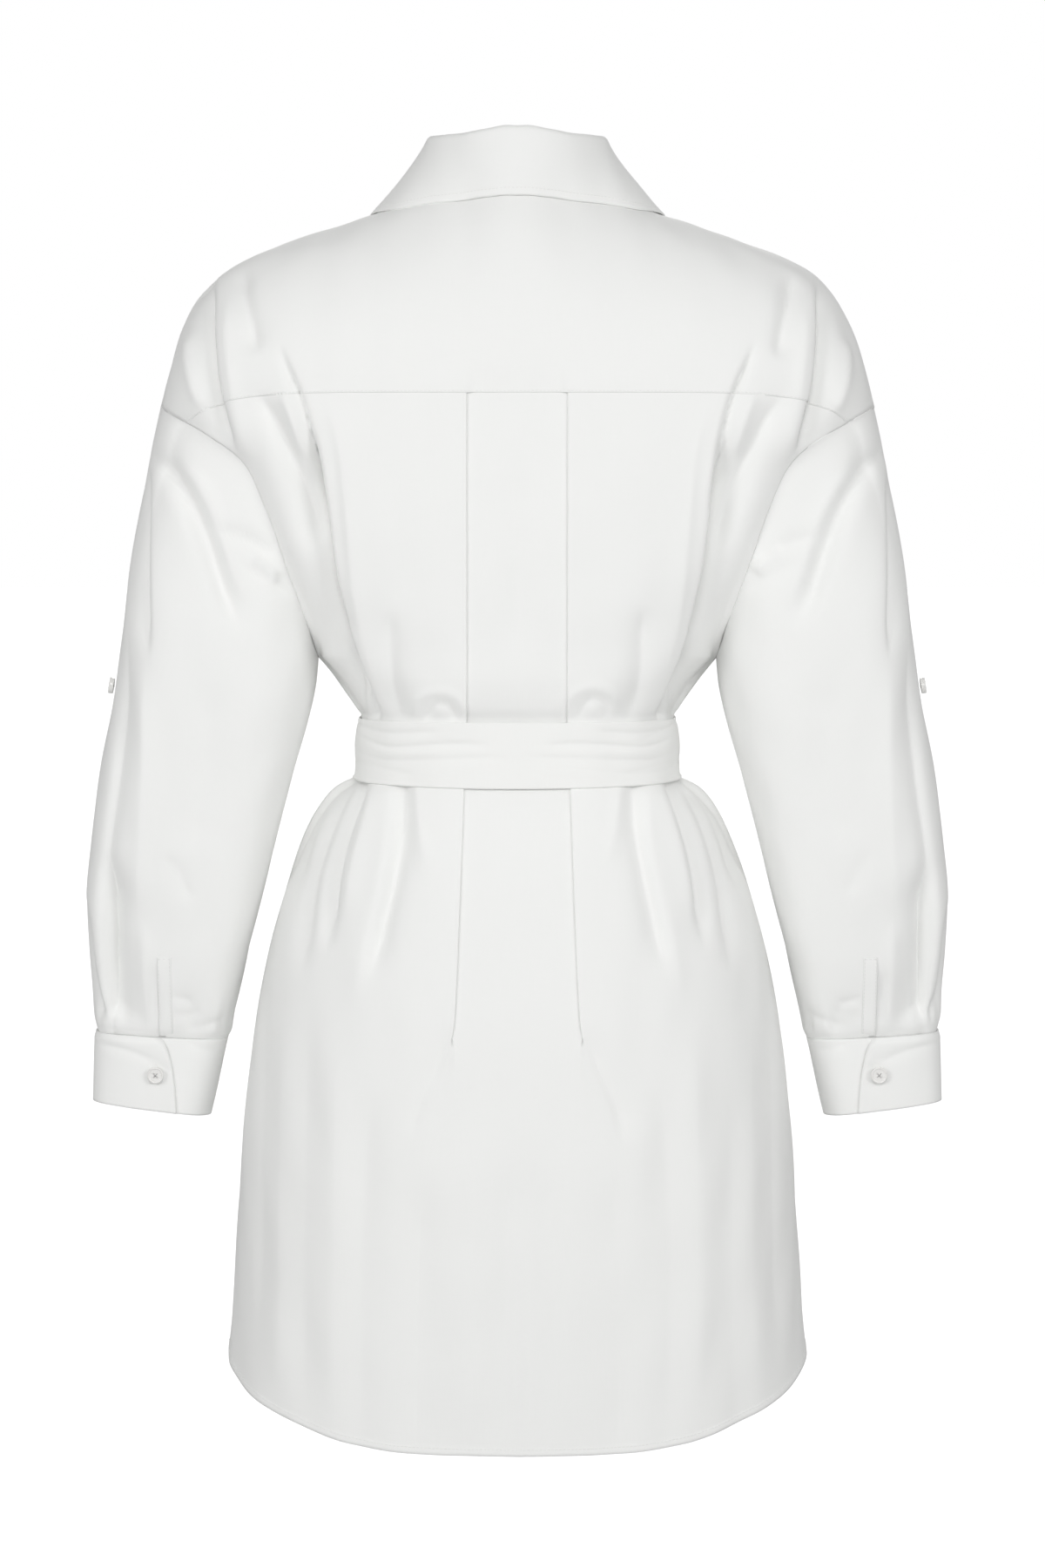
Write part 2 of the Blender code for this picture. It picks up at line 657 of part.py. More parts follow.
def make_back():
    grid = []
    for v in BODY_ROWS:
        row = body_row(BACK, v)
        half = back_stations(row)
        right = [row.place(along, lift, RIGHT) for along, lift in half[:0:-1]]
        grid.append(right + [row.place(along, lift, LEFT) for along, lift in half])
    cloth("back", grid, CLOTH)


def shoulder_stations():
    """Places along the yoke seam that the yoke and the fronts share with the back, out to the armhole."""
    row = shoulders.rows[BACK]
    alongs = [along for along, _ in back_stations(row)][-(SIDE_STATIONS + 1):]
    return [float(np.interp(along, row.lengths, row.x)) for along in alongs]


SHOULDER_X = shoulder_stations()
OUTER_X = SHOULDER_X[2:]


def seam_top_x(foot_x):
    """Place on the front yoke seam above a place on the back one."""
    share = (foot_x - OUTER_X[0]) / (OUTER_X[-1] - OUTER_X[0])
    return lerp(CORNER_X, YOKE_END, share)


def front_grid(start, side, lift_at):
    """Grid of one front from its centre edge to the side, neckline or front yoke seam to hem."""
    seam = shoulders.rows[FRONT]
    neck_xs = [lerp(start, CORNER_X, i / NECK_STATIONS) for i in range(NECK_STATIONS)]
    seam_xs = [*neck_xs, *[seam_top_x(x) for x in OUTER_X]]
    alongs = [math.copysign(float(np.interp(abs(x), seam.x, seam.lengths)), x) for x in seam_xs]
    grid = []
    for r in range(FRONT_TOP_ROWS):
        line = []
        for seam_x, along in zip(seam_xs, alongs):
            at_neck = abs(seam_x) < CORNER_X
            top = neck_angle(seam_x, FRONT) if at_neck else FRONT_SEAM_ANGLE
            angle = lerp(top + TOP_TRIM, 180 - FOOT_TRIM, r / FRONT_TOP_ROWS)
            point = shoulders.place(seam_x, angle, lift_at(along))
            line.append((side * point[0], point[1], point[2]))
        grid.append(line)
    for v in BODY_ROWS:
        row = body_row(FRONT, v)
        line = []
        for place in alongs:
            share = (place - alongs[0]) / (alongs[-1] - alongs[0])
            along = lerp(alongs[0], row.length - HALF_GAP, share)
            line.append(row.place(along, lift_at(along), side))
        grid.append(line)
    return grid


def right_lift(along):
    return LAP_LIFT * (1 - smooth((along - LAP_HALF_WIDTH) / LAP_FADE))


def make_fronts():
    cloth("front_left", front_grid(-UNDERLAP, LEFT, lambda along: 0.0), CLOTH)
    right = front_grid(LAP_HALF_WIDTH + SEAM_GAP, RIGHT, right_lift)
    cloth("front_right", right, CLOTH, flip=True)


def lap_angle(along):
    """Angle of the neckline over the front lap."""
    return neck_angle(along, FRONT) + TOP_TRIM


def lap_rows():
    """Rows of the front lap from the neckline to the hem: each gives its point at a place across."""

    def over_shoulder_line(share):
        return lambda x: shoulders.place(x, lerp(lap_angle(x), 180 - FOOT_TRIM, share), LAP_LIFT)

    def down_front(row):
        return lambda x: row.place(x, LAP_LIFT)

    top = [over_shoulder_line(r / FRONT_TOP_ROWS) for r in range(FRONT_TOP_ROWS)]
    return top + [down_front(body_row(FRONT, v)) for v in BODY_ROWS]


LAP_ROWS = lap_rows()


def make_placket():
    stations = np.linspace(-LAP_HALF_WIDTH, LAP_HALF_WIDTH, LAP_STATIONS)
    cloth("placket_right", [[place(x) for x in stations] for place in LAP_ROWS], CLOTH)


def yoke_columns():
    """Foot and top of each yoke column from the centre back out, as places on the shoulder arches."""
    columns = []
    for i in range(YOKE_NECK_STATIONS):
        bearing = CORNER_BEARING * i / YOKE_NECK_STATIONS
        x = NECK_HALF_WIDTH * math.sin(math.radians(bearing))
        foot_x = OUTER_X[0] * i / YOKE_NECK_STATIONS
        columns.append((foot_x, x, neck_angle(x, BACK if bearing <= 90 else FRONT)))
    columns += [(x, seam_top_x(x), FRONT_SEAM_ANGLE) for x in OUTER_X]
    return columns


def make_yoke():
    grid = []
    for r in range(YOKE_ROWS + 1):
        share = r / YOKE_ROWS
        left = [
            shoulders.place(lerp(foot_x, top_x, share), lerp(FOOT_TRIM, top_angle - TOP_TRIM, share))
            for foot_x, top_x, top_angle in yoke_columns()
        ]
        right = [(-x, y, z) for x, y, z in left[:0:-1]]
        grid.append(right + left)
    cloth("back_yoke", grid, CLOTH, flip=True)


# ---------------------------------------------------------------- sleeves and cuffs


def sleeve_turns():
    """Turns round the sleeve that meet the rows of the yoke, the back and the fronts at the armhole."""
    back, front = ARMHOLE_LOOPS[BACK], ARMHOLE_LOOPS[FRONT]
    yoke = [FRONT_SEAM_ANGLE * r / YOKE_ROWS for r in range(YOKE_ROWS + 1)]
    chest = [lerp(FRONT_SEAM_ANGLE, 180, r / FRONT_TOP_ROWS) for r in range(1, FRONT_TOP_ROWS + 1)]
    behind = [back.share_over(90 - angle) for angle in yoke if angle <= 90]
    behind += [back.share_under(v) for v in ARMHOLE_ROWS[1:]]
    before = [front.share_over(angle - 90) for angle in (*yoke, *chest) if angle > 90]
    before += [front.share_under(v) for v in ARMHOLE_ROWS[1:-1]]
    return sorted([180 * share for share in behind] + [360 - 180 * share for share in before])


def sleeve_start(turn):
    """Share at which the sleeve is clear of the body's edge."""
    trim = lerp(ARMHOLE_TRIM, UNDERARM_TRIM, smooth((math.sin(math.radians(turn / 2)) - 0.7) / 0.3))
    seam = sleeve_base(turn, 0)
    low, high = 0.0, 0.2
    for _ in range(25):
        middle = (low + high) / 2
        if np.linalg.norm(sleeve_base(turn, middle) - seam) < trim:
            low = middle
        else:
            high = middle
    return high


def mirrored(grid, side):
    return [[(side * x, y, z) for x, y, z in row] for row in grid]


def on_each_side(name, grid, wall, look=COTTON, ring=False, flip=False):
    cloth(f"{name}_left", grid, wall, look, ring, flip)
    cloth(f"{name}_right", mirrored(grid, RIGHT), wall, look, ring, not flip)


def make_sleeves():
    turns = sleeve_turns()
    starts = [sleeve_start(turn) for turn in turns]
    grid = [
        [sleeve_place(turn, lerp(start, 1, share)) for turn, start in zip(turns, starts)]
        for share in SLEEVE_ROWS
    ]
    on_each_side("sleeve", grid, CLOTH, ring=True)


def make_sleeve_plackets():
    lift = CLOTH / 2 + SEAM_GAP + CLOTH / 2
    grid = []
    half = PLACKET_STRIP / 2
    for z in np.linspace(PLACKET_TOP_Z, PLACKET_FOOT_Z, PLACKET_ROWS):
        line = []
        for x in np.linspace(PLACKET_X - half, PLACKET_X + half, PLACKET_COLUMNS):
            share = sleeve_share_at(x, z)
            line.append(sleeve_place(turn_at_x(ring_at, share, x), share, lift))
        grid.append(line)
    on_each_side("sleeve_placket", grid, CLOTH)


def cuff_lift(around):
    """The cuff's outer end lies over its inner end and comes down to it round the arm."""
    return CUFF_LAYER * (1 - smooth((around - CUFF_LAP_SPAN) / CUFF_LAP_FADE))


def make_cuffs():
    lap = turn_at_x(cuff_ring_at, 0.5, CUFF_LAP_X)
    underlap = math.degrees(CUFF_UNDERLAP / CUFF_RADIUS)
    grid = []
    for share in CUFF_ROWS:
        line = []
        for i in range(CUFF_COLUMNS + 1):
            around = (360 + underlap) * i / CUFF_COLUMNS
            line.append(moved_out(cuff_base, lap - around, share, cuff_lift(around)))
        grid.append(line)
    on_each_side("cuff", grid, DOUBLED_CLOTH, flip=True)


# ---------------------------------------------------------------- collar


def stand_point(bearing, share, lift=0.0):
    """Point of the collar stand: share 0 at its foot on the neckline, 1 at its top edge."""
    turn = math.radians(bearing)
    from_back = abs(bearing) if abs(bearing) <= 180 else 360 - abs(bearing)
    height, lean = stand_at(from_back)
    out = np.array((math.sin(turn), math.cos(turn), 0))
    up = np.array((0, 0, 1))
    return neckline(bearing) + up * lerp(STAND_FOOT, height, share) + out * (lean * share + lift)


def make_stand():
    end = 180 + STAND_OVERLAP
    grid = []
    for share in STAND_ROWS:
        line = []
        for i in range(STAND_COLUMNS + 1):
            bearing = lerp(-end, end, i / STAND_COLUMNS)
            over = smooth((-bearing - STAND_LAP_FROM) / STAND_LAP_FADE)
            line.append(stand_point(bearing, share, over * (DOUBLED_CLOTH + STAND_LAP_GAP)))
        grid.append(line)
    cloth("collar_stand", grid, DOUBLED_CLOTH, flip=True)


def fall_point(share, row, side):
    """Point of the turned-down collar: row 0 at the stand, over the roll, down to its outer edge."""
    bearing = side * FALL_END_BEARING * share
    turn = math.radians(bearing)
    out = np.array((math.sin(turn), math.cos(turn), 0))
    crest = stand_point(bearing, 1)
    x, y, lift = fall_edge_at(share)
    edge = shoulders.place(x, shoulders.angle_at(x, y), lift)
    edge = np.array((side * edge[0], edge[1], edge[2]))
    rolls = len(ROLLS)
    if row < rolls:
        return crest + out * ROLLS[row].out + np.array((0, 0, ROLLS[row].up))
    start = crest + out * ROLLS[-1].out + np.array((0, 0, ROLLS[-1].up))
    t = (row - rolls + 1) / FALL_ROWS
    bulge = math.sin(math.pi * t) * FALL_BULGE
    return lerp(start, edge, t) + out * bulge + np.array((0, 0, bulge * 0.5))


def make_collar():
    right = [(i / FALL_COLUMNS, RIGHT) for i in range(FALL_COLUMNS, 0, -1)]
    left = [(i / FALL_COLUMNS, LEFT) for i in range(FALL_COLUMNS + 1)]
    rows = range(len(ROLLS) + FALL_ROWS)
    grid = [[fall_point(share, row, side) for share, side in right + left] for row in rows]
    cloth("collar", grid, DOUBLED_CLOTH)


# ---------------------------------------------------------------- belt


def belt_row(face, share):
    edge_z = lerp(BELT_TOP_SIDE_Z, BELT_BOTTOM_SIDE_Z, share)
    edge = (side_at(edge_z), 0, edge_z)
    return Row(face, lerp(BELT_TOP_Z, BELT_BOTTOM_Z, share), edge, sag)


def make_belt():
    outward, inward = range(BELT_QUARTER), range(BELT_QUARTER, 0, -1)
    grid = []
    for share in BELT_ROWS:
        back, front = belt_row(BACK, share), belt_row(FRONT, share)
        line = []
        for row, side, steps in (
            (back, LEFT, outward), (front, LEFT, inward), (front, RIGHT, outward), (back, RIGHT, inward),
        ):
            for i in steps:
                line.append(row.place(row.length * i / BELT_QUARTER, BELT_LIFT, side, creased=False))
        grid.append(line)
    cloth("belt", grid, BELT_WALL, BELT_COTTON, ring=True, flip=True)


def make_knot():
    mesh = bpy.data.meshes.new("belt_knot")
    form = bmesh.new()
    bmesh.ops.create_cube(form, size=1)
    bmesh.ops.scale(form, vec=Vector(KNOT_SIZE) * MM, verts=form.verts)
    form.to_mesh(mesh)
    form.free()
    mesh.shade_smooth()
    knot = add_object("belt_knot", mesh, BELT_COTTON)
    foot_z = KNOT_Z - KNOT_SIZE[2] / 2 + KNOT_ROUNDING
    row = belt_row(FRONT, (BELT_TOP_Z - foot_z) / (BELT_TOP_Z - BELT_BOTTOM_Z))
    face_y = row.place(0, BELT_LIFT + BELT_WALL / 2 + SEAM_GAP)[1]
    knot.location = Vector((0, face_y - KNOT_SIZE[1] / 2, KNOT_Z)) * MM
    edges = knot.modifiers.new("rounded", "BEVEL")
    edges.width = KNOT_ROUNDING * MM
    edges.segments = 3


def front_row_at(z):
    """Row of the skirt's front at this height on the centre line."""
    return body_row(FRONT, 2 + (z - BELT_BOTTOM_Z) / (HEM_Z - BELT_BOTTOM_Z))


def make_tails():
    top_z = KNOT_Z - KNOT_SIZE[2] / 2 - SEAM_GAP
    for side, name in ((LEFT, "belt_tail_left"), (RIGHT, "belt_tail_right")):
        grid = []
        for down in TAIL_ROWS:
            x, half_width, lift = tail_at(down)
            row = front_row_at(lerp(top_z, TAIL_FOOT_Z[side], down))
            stations = np.linspace(x - half_width, x + half_width, TAIL_COLUMNS)
            grid.append([row.place(s, lift, side, creased=False) for s in stations])
        cloth(name, grid, BELT_WALL, BELT_COTTON, flip=side == RIGHT)


# ---------------------------------------------------------------- buttons


def button(name, centre, normal, thick=BUTTON_THICK):
    """Round button lying on the cloth, its axis along the cloth's normal."""
    mesh = bpy.data.meshes.new(name)
    form = bmesh.new()
    radius = BUTTON_RADIUS * MM
    bmesh.ops.create_cone(
        form, cap_ends=True, segments=BUTTON_SIDES, radius1=radius, radius2=radius, depth=thick * MM
    )
    form.to_mesh(mesh)
    form.free()
    obj = add_object(name, mesh, BUTTON_WHITE)
    obj.rotation_mode = "QUATERNION"
    obj.rotation_quaternion = Vector(normal).to_track_quat("Z", "Y")
    obj.location = Vector(centre) * MM
    rim = obj.modifiers.new("rim", "BEVEL")
    rim.width = BUTTON_BEVEL * MM
    rim.segments = 1
    rim.limit_method = "ANGLE"


def on_surface(place, wall, thick):
    """Centre and normal of a button on a wall: place(across, up) gives points of the wall's middle."""
    here = np.array(place(0, 0))
    across = np.array(place(1, 0)) - np.array(place(-1, 0))
    up = np.array(place(0, 1)) - np.array(place(0, -1))
    normal = np.cross(across, up)
    normal /= np.linalg.norm(normal)
    return here + normal * (wall / 2 + BUTTON_GAP + thick / 2), normal


def lap_place(x, z):
    """Point of the front lap at this height."""
    for above, below in zip(LAP_ROWS, LAP_ROWS[1:]):
        top, foot = above(x), below(x)
        if z >= foot[2]:
            return lerp(top, foot, (top[2] - z) / (top[2] - foot[2]))
    raise ValueError("below the hem")


def make_buttons():
    stand_lift = DOUBLED_CLOTH + STAND_LAP_GAP
    spots = {
        "button_stand": on_surface(
            lambda across, up: stand_point(180 - 3 * across, 0.5 + 0.1 * up, stand_lift),
            DOUBLED_CLOTH, BUTTON_THICK,
        )
    }
    for number, z in enumerate(FRONT_BUTTON_Z, 1):
        spots[f"button_front_{number}"] = on_surface(
            lambda across, up: lap_place(BUTTON_REACH * across, z + BUTTON_REACH * up),
            CLOTH, BUTTON_THICK,
        )
    for name, (centre, normal) in spots.items():
        button(name, centre, normal)
    cuff_turn = turn_at_x(cuff_ring_at, CUFF_BUTTON_SHARE, CUFF_BUTTON_X)
    cuff = on_surface(
        lambda across, up: moved_out(
            cuff_base, cuff_turn + 3 * across, CUFF_BUTTON_SHARE - 0.1 * up, CUFF_LAYER
        ),
        DOUBLED_CLOTH, BUTTON_THICK,
    )
    tab = on_surface(
        lambda across, up: sleeve_place(3 * across, TAB_BUTTON_SHARE - 0.01 * up), CLOTH, TAB_BUTTON_THICK
    )
    for side, word in ((LEFT, "left"), (RIGHT, "right")):
        turned = np.array((side, 1, 1))
        button(f"cuff_button_{word}", cuff[0] * turned, cuff[1] * turned)
        button(f"tab_button_{word}", tab[0] * turned, tab[1] * turned, TAB_BUTTON_THICK)


make_yoke()
make_back()
make_fronts()
make_placket()
make_sleeves()
make_sleeve_plackets()
make_cuffs()
make_stand()
make_collar()
make_belt()
make_knot()
make_tails()
make_buttons()
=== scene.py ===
# White cotton shirt dress in the hollow form it has when worn.
#
# Lengths in the tables are millimetres and the meshes are metres. +Z is up, the back faces +Y and the
# wearer's left is +X. Each cloth piece is a thin shell on the form of the solid it replaces, with its
# folds pressed in.

import math

import bmesh
import bpy
import numpy as np
from mathutils import Matrix, Vector


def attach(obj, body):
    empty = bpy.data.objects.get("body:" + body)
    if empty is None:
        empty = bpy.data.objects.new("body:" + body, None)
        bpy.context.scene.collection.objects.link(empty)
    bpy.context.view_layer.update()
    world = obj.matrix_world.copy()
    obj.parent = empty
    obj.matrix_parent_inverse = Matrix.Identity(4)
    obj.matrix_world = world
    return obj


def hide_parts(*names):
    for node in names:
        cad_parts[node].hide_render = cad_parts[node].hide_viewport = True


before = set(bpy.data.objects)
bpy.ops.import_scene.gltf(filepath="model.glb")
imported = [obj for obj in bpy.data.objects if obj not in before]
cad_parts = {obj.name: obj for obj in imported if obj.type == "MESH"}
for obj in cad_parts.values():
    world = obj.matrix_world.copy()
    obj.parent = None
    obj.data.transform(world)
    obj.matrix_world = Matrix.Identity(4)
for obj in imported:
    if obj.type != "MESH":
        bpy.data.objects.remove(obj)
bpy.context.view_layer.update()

MM = 0.001
BACK, FRONT = 1, -1
LEFT, RIGHT = 1, -1
SIDE_WORDS = {LEFT: "left", RIGHT: "right"}

# Thickness of the cloth as it is sewn
SINGLE, DOUBLED, COLLAR_WALL, SLIT_BAND_WALL = 0.5, 1.1, 1.2, 0.7

# ------ sizes of the form

YOKE_Z = -140.0
CHEST_Z, UNDERARM_Z = -322.0, -330.0
BELT_TOP_Z, BELT_BOTTOM_Z = -370.8, -417.0
BELT_TOP_SIDE_Z, BELT_BOTTOM_SIDE_Z = -372.0, -414.0
HEM_Z, HEM_SIDE_Z = -877.0, -824.0

# Side of the body: z, half width
SIDES = (
    (-330, 141), (-341, 132), (-352, 123.5), (-360, 117.5), (-366, 113.5), (-371, 110.4),
    (-394, 110.8), (-412, 113.2), (-416, 118), (-420, 126.5), (-427, 134.5), (-445, 146.7),
    (-464, 154.8), (-501, 167), (-538, 177), (-576, 185), (-614, 190), (-670, 196), (-746, 200.4),
    (-802, 204.4), (-824, 206.7),
)
# Centre of the body: z, depth behind, depth in front, fullness of the section
DEPTHS = (
    (-140, 96, 98, 2.5), (-200, 98, 112, 2.6), (-250, 97, 117, 2.6), (-310, 93, 108, 2.6),
    (-338, 91.5, 98, 2.55), (-350, 89, 94, 2.5), (-361, 85.5, 89, 2.5), (-370, 82, 85, 2.5),
    (-394, 82.5, 85, 2.5), (-416, 84, 86.5, 2.5), (-420, 86.2, 88.5, 2.5), (-427, 88.5, 91, 2.45),
    (-438, 93, 94, 2.4), (-455, 99.5, 98.5, 2.4), (-482, 107, 103, 2.4), (-540, 116, 110, 2.4),
    (-600, 122, 114, 2.4), (-700, 127, 118, 2.4), (-800, 130, 120, 2.4), (-877, 132, 121, 2.4),
)
# Arches over the shoulder: place on the yoke seam, place on top, z on top
SHOULDERS = (
    (0, 0, 24), (6, 6, 23.5), (20, 20, 17.5), (40, 40, 7), (75, 75, -7), (100, 100, -17.2),
    (127, 127, -26), (150, 150, -33.2), (175, 182.5, -45), (190, 204.5, -57), (205, 223, -74),
    (215, 236, -98), (225, 246, -130), (232, 252, -153),
)
YOKE_END = 232.0
FRONT_FULLNESS, BACK_FULLNESS = 1.7, 2.0
FRONT_SEAM_ANGLE = 100.0
# Armhole from the end of the yoke seam to the underarm: x, y, z
ARMHOLE = (
    (232, 46, -163), (216, 57, -172), (190, 62, -192), (176, 59, -222), (163, 51, -260),
    (150, 36, -298), (143, 17, -322), (141, 0, -330),
)
FRONT_ARMHOLE_DEPTH = 0.92
# At the armhole the rows end slanting into the sleeve instead of rounding in to the side
ARMHOLE_END_ANGLE, ARMHOLE_FULLNESS, ARMHOLE_TURN_Y = 72.0, 0.7, 40.0
# Rows hang a little towards the sides. The yoke seam stays level almost to the armhole.
SAG, SEAM_LEVEL, LEVEL_UNTIL = 1.6, 7.0, 0.6
# Hem: share of the way to the side, share of the rise to its side
HEM_RISES = (
    (0, 0), (0.25, 0.02), (0.42, 0.11), (0.6, 0.36), (0.75, 0.61), (0.87, 0.83), (1, 1),
)
NECK_HALF_WIDTH, NECK_CENTRE_Y, NECK_BACK, NECK_FRONT = 72.0, -7.0, 55.0, 71.0

# Back pleats: z, place of the folded edge, cloth laid under it, height of the step
PLEATS = (
    (-140, 35.5, 24, 1), (-367, 35.5, 24, 1), (-417, 37.5, 24, 1), (-500, 40.5, 22, 1),
    (-574, 43.8, 14, 1), (-587, 45.5, 0, 0.9), (-600, 49, -8, 0.7), (-650, 63, -26, 0.45),
    (-740, 72, -44, 0.2), (-877, 74, -52, 0),
)
PLEAT_LAYER, PLEAT_FADE = 0.95, 60.0
# Half width of the pleated panel at the yoke, and where its step begins there
PLEATED, PLEAT_STEP_FROM, PLEAT_STEP_SPAN = 62.5, 29.0, 7.0
# How the turned cloth bulges, spreads and slants as the cloth laid under it runs out
PLEAT_BULGE_FROM, PLEAT_BULGE_SPAN, PLEAT_SPREAD, PLEAT_SPREAD_MOST = -2, 6, 0.3, 4
PLEAT_SLANT, PLEAT_SLANT_FROM, PLEAT_SLANT_SPAN, PLEAT_LEAST_UNDER, PLEAT_MARGIN = 0.5, 4, 10, 8, 3

# Sleeve rings: share of the arm, x and z of the outermost and of the innermost point, half depth, y
RINGS = (
    (0.00, 252, -153, 141, -330, 50, 0), (0.06, 259, -182, 141.5, -341, 55, 1),
    (0.13, 266, -214, 143, -352, 59, 2), (0.22, 272, -256, 149, -376, 59, 3),
    (0.32, 277.8, -298, 158, -407, 57, 3), (0.45, 285.3, -352, 170, -450, 54, 2),
    (0.58, 296, -408, 180, -488, 52, 0), (0.70, 303, -460, 188.5, -523, 50, -3),
    (0.80, 307, -505, 195, -550, 47, -6), (0.88, 306, -538, 200, -570, 43, -8),
    (0.95, 303, -570, 204, -587, 37, -10), (1.00, 301, -596, 206.5, -601, 31, -11),
)
CUFF_RINGS = (
    (0, 301.2, -596.6, 207.5, -601.6, 31.5, -11), (1, 303, -646, 221, -657, 30, -12),
)
# The arm is rounder at the top and flatter at the cuff
SLEEVE_FULLNESS, CUFF_FULLNESS, SEAM_SHAPE_SHARE = 2.5, 3.3, 0.26
TURN_STEP, SHARE_STEP = 1.5, 0.006
CUFF_GATHERS, CUFF_GATHER_HEIGHT, CUFF_GATHER_FROM = 9, 0.8, 0.86
# Finer gathers between the others: height, number, shift between the sleeves
FINE_GATHERS = (0.5, 2.1 * CUFF_GATHERS, 70)
# Where the gathers and the folds of the sleeve are held: start and span
GATHER_HELD, CUFF_HELD, CUFF_HOLD = (0.975, 0.02), (0.96, 0.03), 0.12
SLEEVE_TOP_HELD, SLEEVE_EDGE_HELD = 0.02, 0.35
SLEEVE_TUCK, TUCK_FROM, TUCK_SPAN, SLEEVE_LAP, SLEEVE_LAP_DROP = 0.9, 0.988, 0.012, 1.4, 0.15
SLEEVE_END_IN, SLEEVE_END_DOWN = 0.4, 2.5
CUFF_LAP, CUFF_UNDERLAP, CUFF_RADIUS, CUFF_LAYER = ((0, 253.0), (1, 243.0)), 24.0, 42.0, 1.6
CUFF_LAP_SPAN, CUFF_LAP_FADE = 48.0, 80.0
CUFF_RIM_LIFT, CUFF_EDGE_SHARE = -0.2, 0.1
# Band beside the slit: only its outer edge stands clear of the sleeve
SLIT_X, SLIT_TOP_Z, SLIT_FOOT_Z, SLIT_BAND_WIDTH = 249.5, -540.0, -599.5, 10.4
BAND_OVER_SLEEVE, BAND_SUNK, BAND_SINK_END, BAND_TUCK = 0.8, 0.05, 0.12, 1.5

# Collar stand: bearing from the back, height, lean outward
STANDS = (
    (0, 35.5, 1), (12, 36.8, 0.5), (26, 38, -2), (40, 38.4, -6), (60, 37.5, -10), (90, 38, -15),
    (135, 34, -10), (180, 27, -4),
)
# Collar's outer edge: share of its half, x, y, height over the cloth
FALLS = (
    (0, 0, 55.8, 1), (0.03, 6.5, 55.3, 1), (0.14, 33, 47.6, 1), (0.27, 59, 37.4, 1),
    (0.4, 83, 26, 1), (0.47, 95, 12, 1.3), (0.55, 103.5, -8, 1.8), (0.68, 98, -42, 3),
    (0.82, 78, -68, 3.8), (1, 45, -92, 4.6),
)
# Roll from the stand's top edge into the fall: row, way out, way up
ROLLS = ((0, 0, 1.3), (1, 1.2, 3.8), (2, 4, 4.4), (3, 6.5, 2.6))
ROLL_END, FALL_END = 3, 8
FALL_BULGE, FALL_SIDE_BULGE, FALL_BULGE_RISE, FALL_END_BEARING = 2.0, -3.2, 0.5, 176.0
STAND_FOOT, STAND_OVERLAP, STAND_LAP = 1.4, 11.0, 2.7
STAND_LAP_FROM, STAND_LAP_FADE = 120.0, 40.0

# Front lap and button band
LAP_HALF_WIDTH, LAP_FADE, UNDERLAP = 17.0, 45.0, 14.0
RIGHT_EDGE_LIFT, BAND_LIFT, BAND_COVER = 0.95, 1.75, 1.5
# Gap at the seams, first rows of the body and of the sleeve as shares, and the hem's step
SEAM_TRIM, BODY_TOP_SHARE, SLEEVE_TOP_SHARE = 0.06, 0.002, 0.0003
HEM_TURN_V, HEM_TURN_SPAN, HEM_STEP = 2.9885, 0.002, 0.35

# Sash: the belt it lies on, its own lift and swell, and its lean in along the top edge
BELT_LIFT, BELT_WALL, KNOT_CLEAR = 3.7, 1.8, 0.3
SASH_LIFT, SASH_SWELL, SASH_LEAN = 2.1, 2.6, 1.0
SASH_EDGE, SASH_LEAN_EDGE, SASH_WRINKLES = 5, 6, 2
WRINKLE_PHASE, WRINKLE_WAVES, WRINKLE_BOUTS = 6.3, (2, 5), (1, 4)
WRINKLE_CENTRES, WRINKLE_DRIFTS, WRINKLE_DEPTHS, WRINKLE_WIDTHS = (
    (0.12, 0.88), (0.05, 0.16), (0.4, 0.8), (0.03, 0.06)
)
KNOT_SIZE, KNOT_Z, KNOT_ROUNDING = (46.0, 22.0, 44.0), -393.0, 7.0
# Exponents that square the knot off: towards its poles, in x, in y and in z
KNOT_POLES, KNOT_SQUARE = 0.6, (0.7, 0.8, 0.75)
KNOT_SLANT, KNOT_CURL, POLE_MERGE = (0.57, 0.82), 0.012, 0.00002
# Grooves between the knot's turns: place across its slant, depth as a share of its size, widths
KNOT_GROOVES = (
    (-15, 0.12, 3.5, 1.6), (-5.5, 0.15, 5.0, 1.5), (4.0, 0.1, 3.0, 2.2), (12.5, 0.14, 4.5, 1.6),
)
KNOT_GROOVE_EDGE, KNOT_GROOVE_X, KNOT_GROOVE_Y = 1.4, 0.7, 2.2
KNOT_PINCH, KNOT_PINCH_SPAN, KNOT_SEATED, TAIL_IN_KNOT = 0.12, 9, 5.2, 3.5
# Sash tails: share of the way down, x, half width, height over the skirt
TAILS = (
    (0, 12, 9, 9.5), (0.05, 15, 12, 5.8), (0.15, 20, 15, 3.6), (0.5, 27, 18, 3.4), (1, 34, 19, 3.4),
)
TAIL_FOOT_Z = {LEFT: -742.0, RIGHT: -708.0}
# A tail's soft waves, and the gathers under the knot: height, turns, and where they begin or end
TAIL_WAVE, TAIL_WAVES, TAIL_WAVES_DOWN, TAIL_WAVE_FROM, TAIL_WAVE_FADE = 0.9, 2.2, 5, 0.1, 0.5
TAIL_GATHER, TAIL_GATHERS, TAIL_GATHER_END = 1.3, 9, 0.22

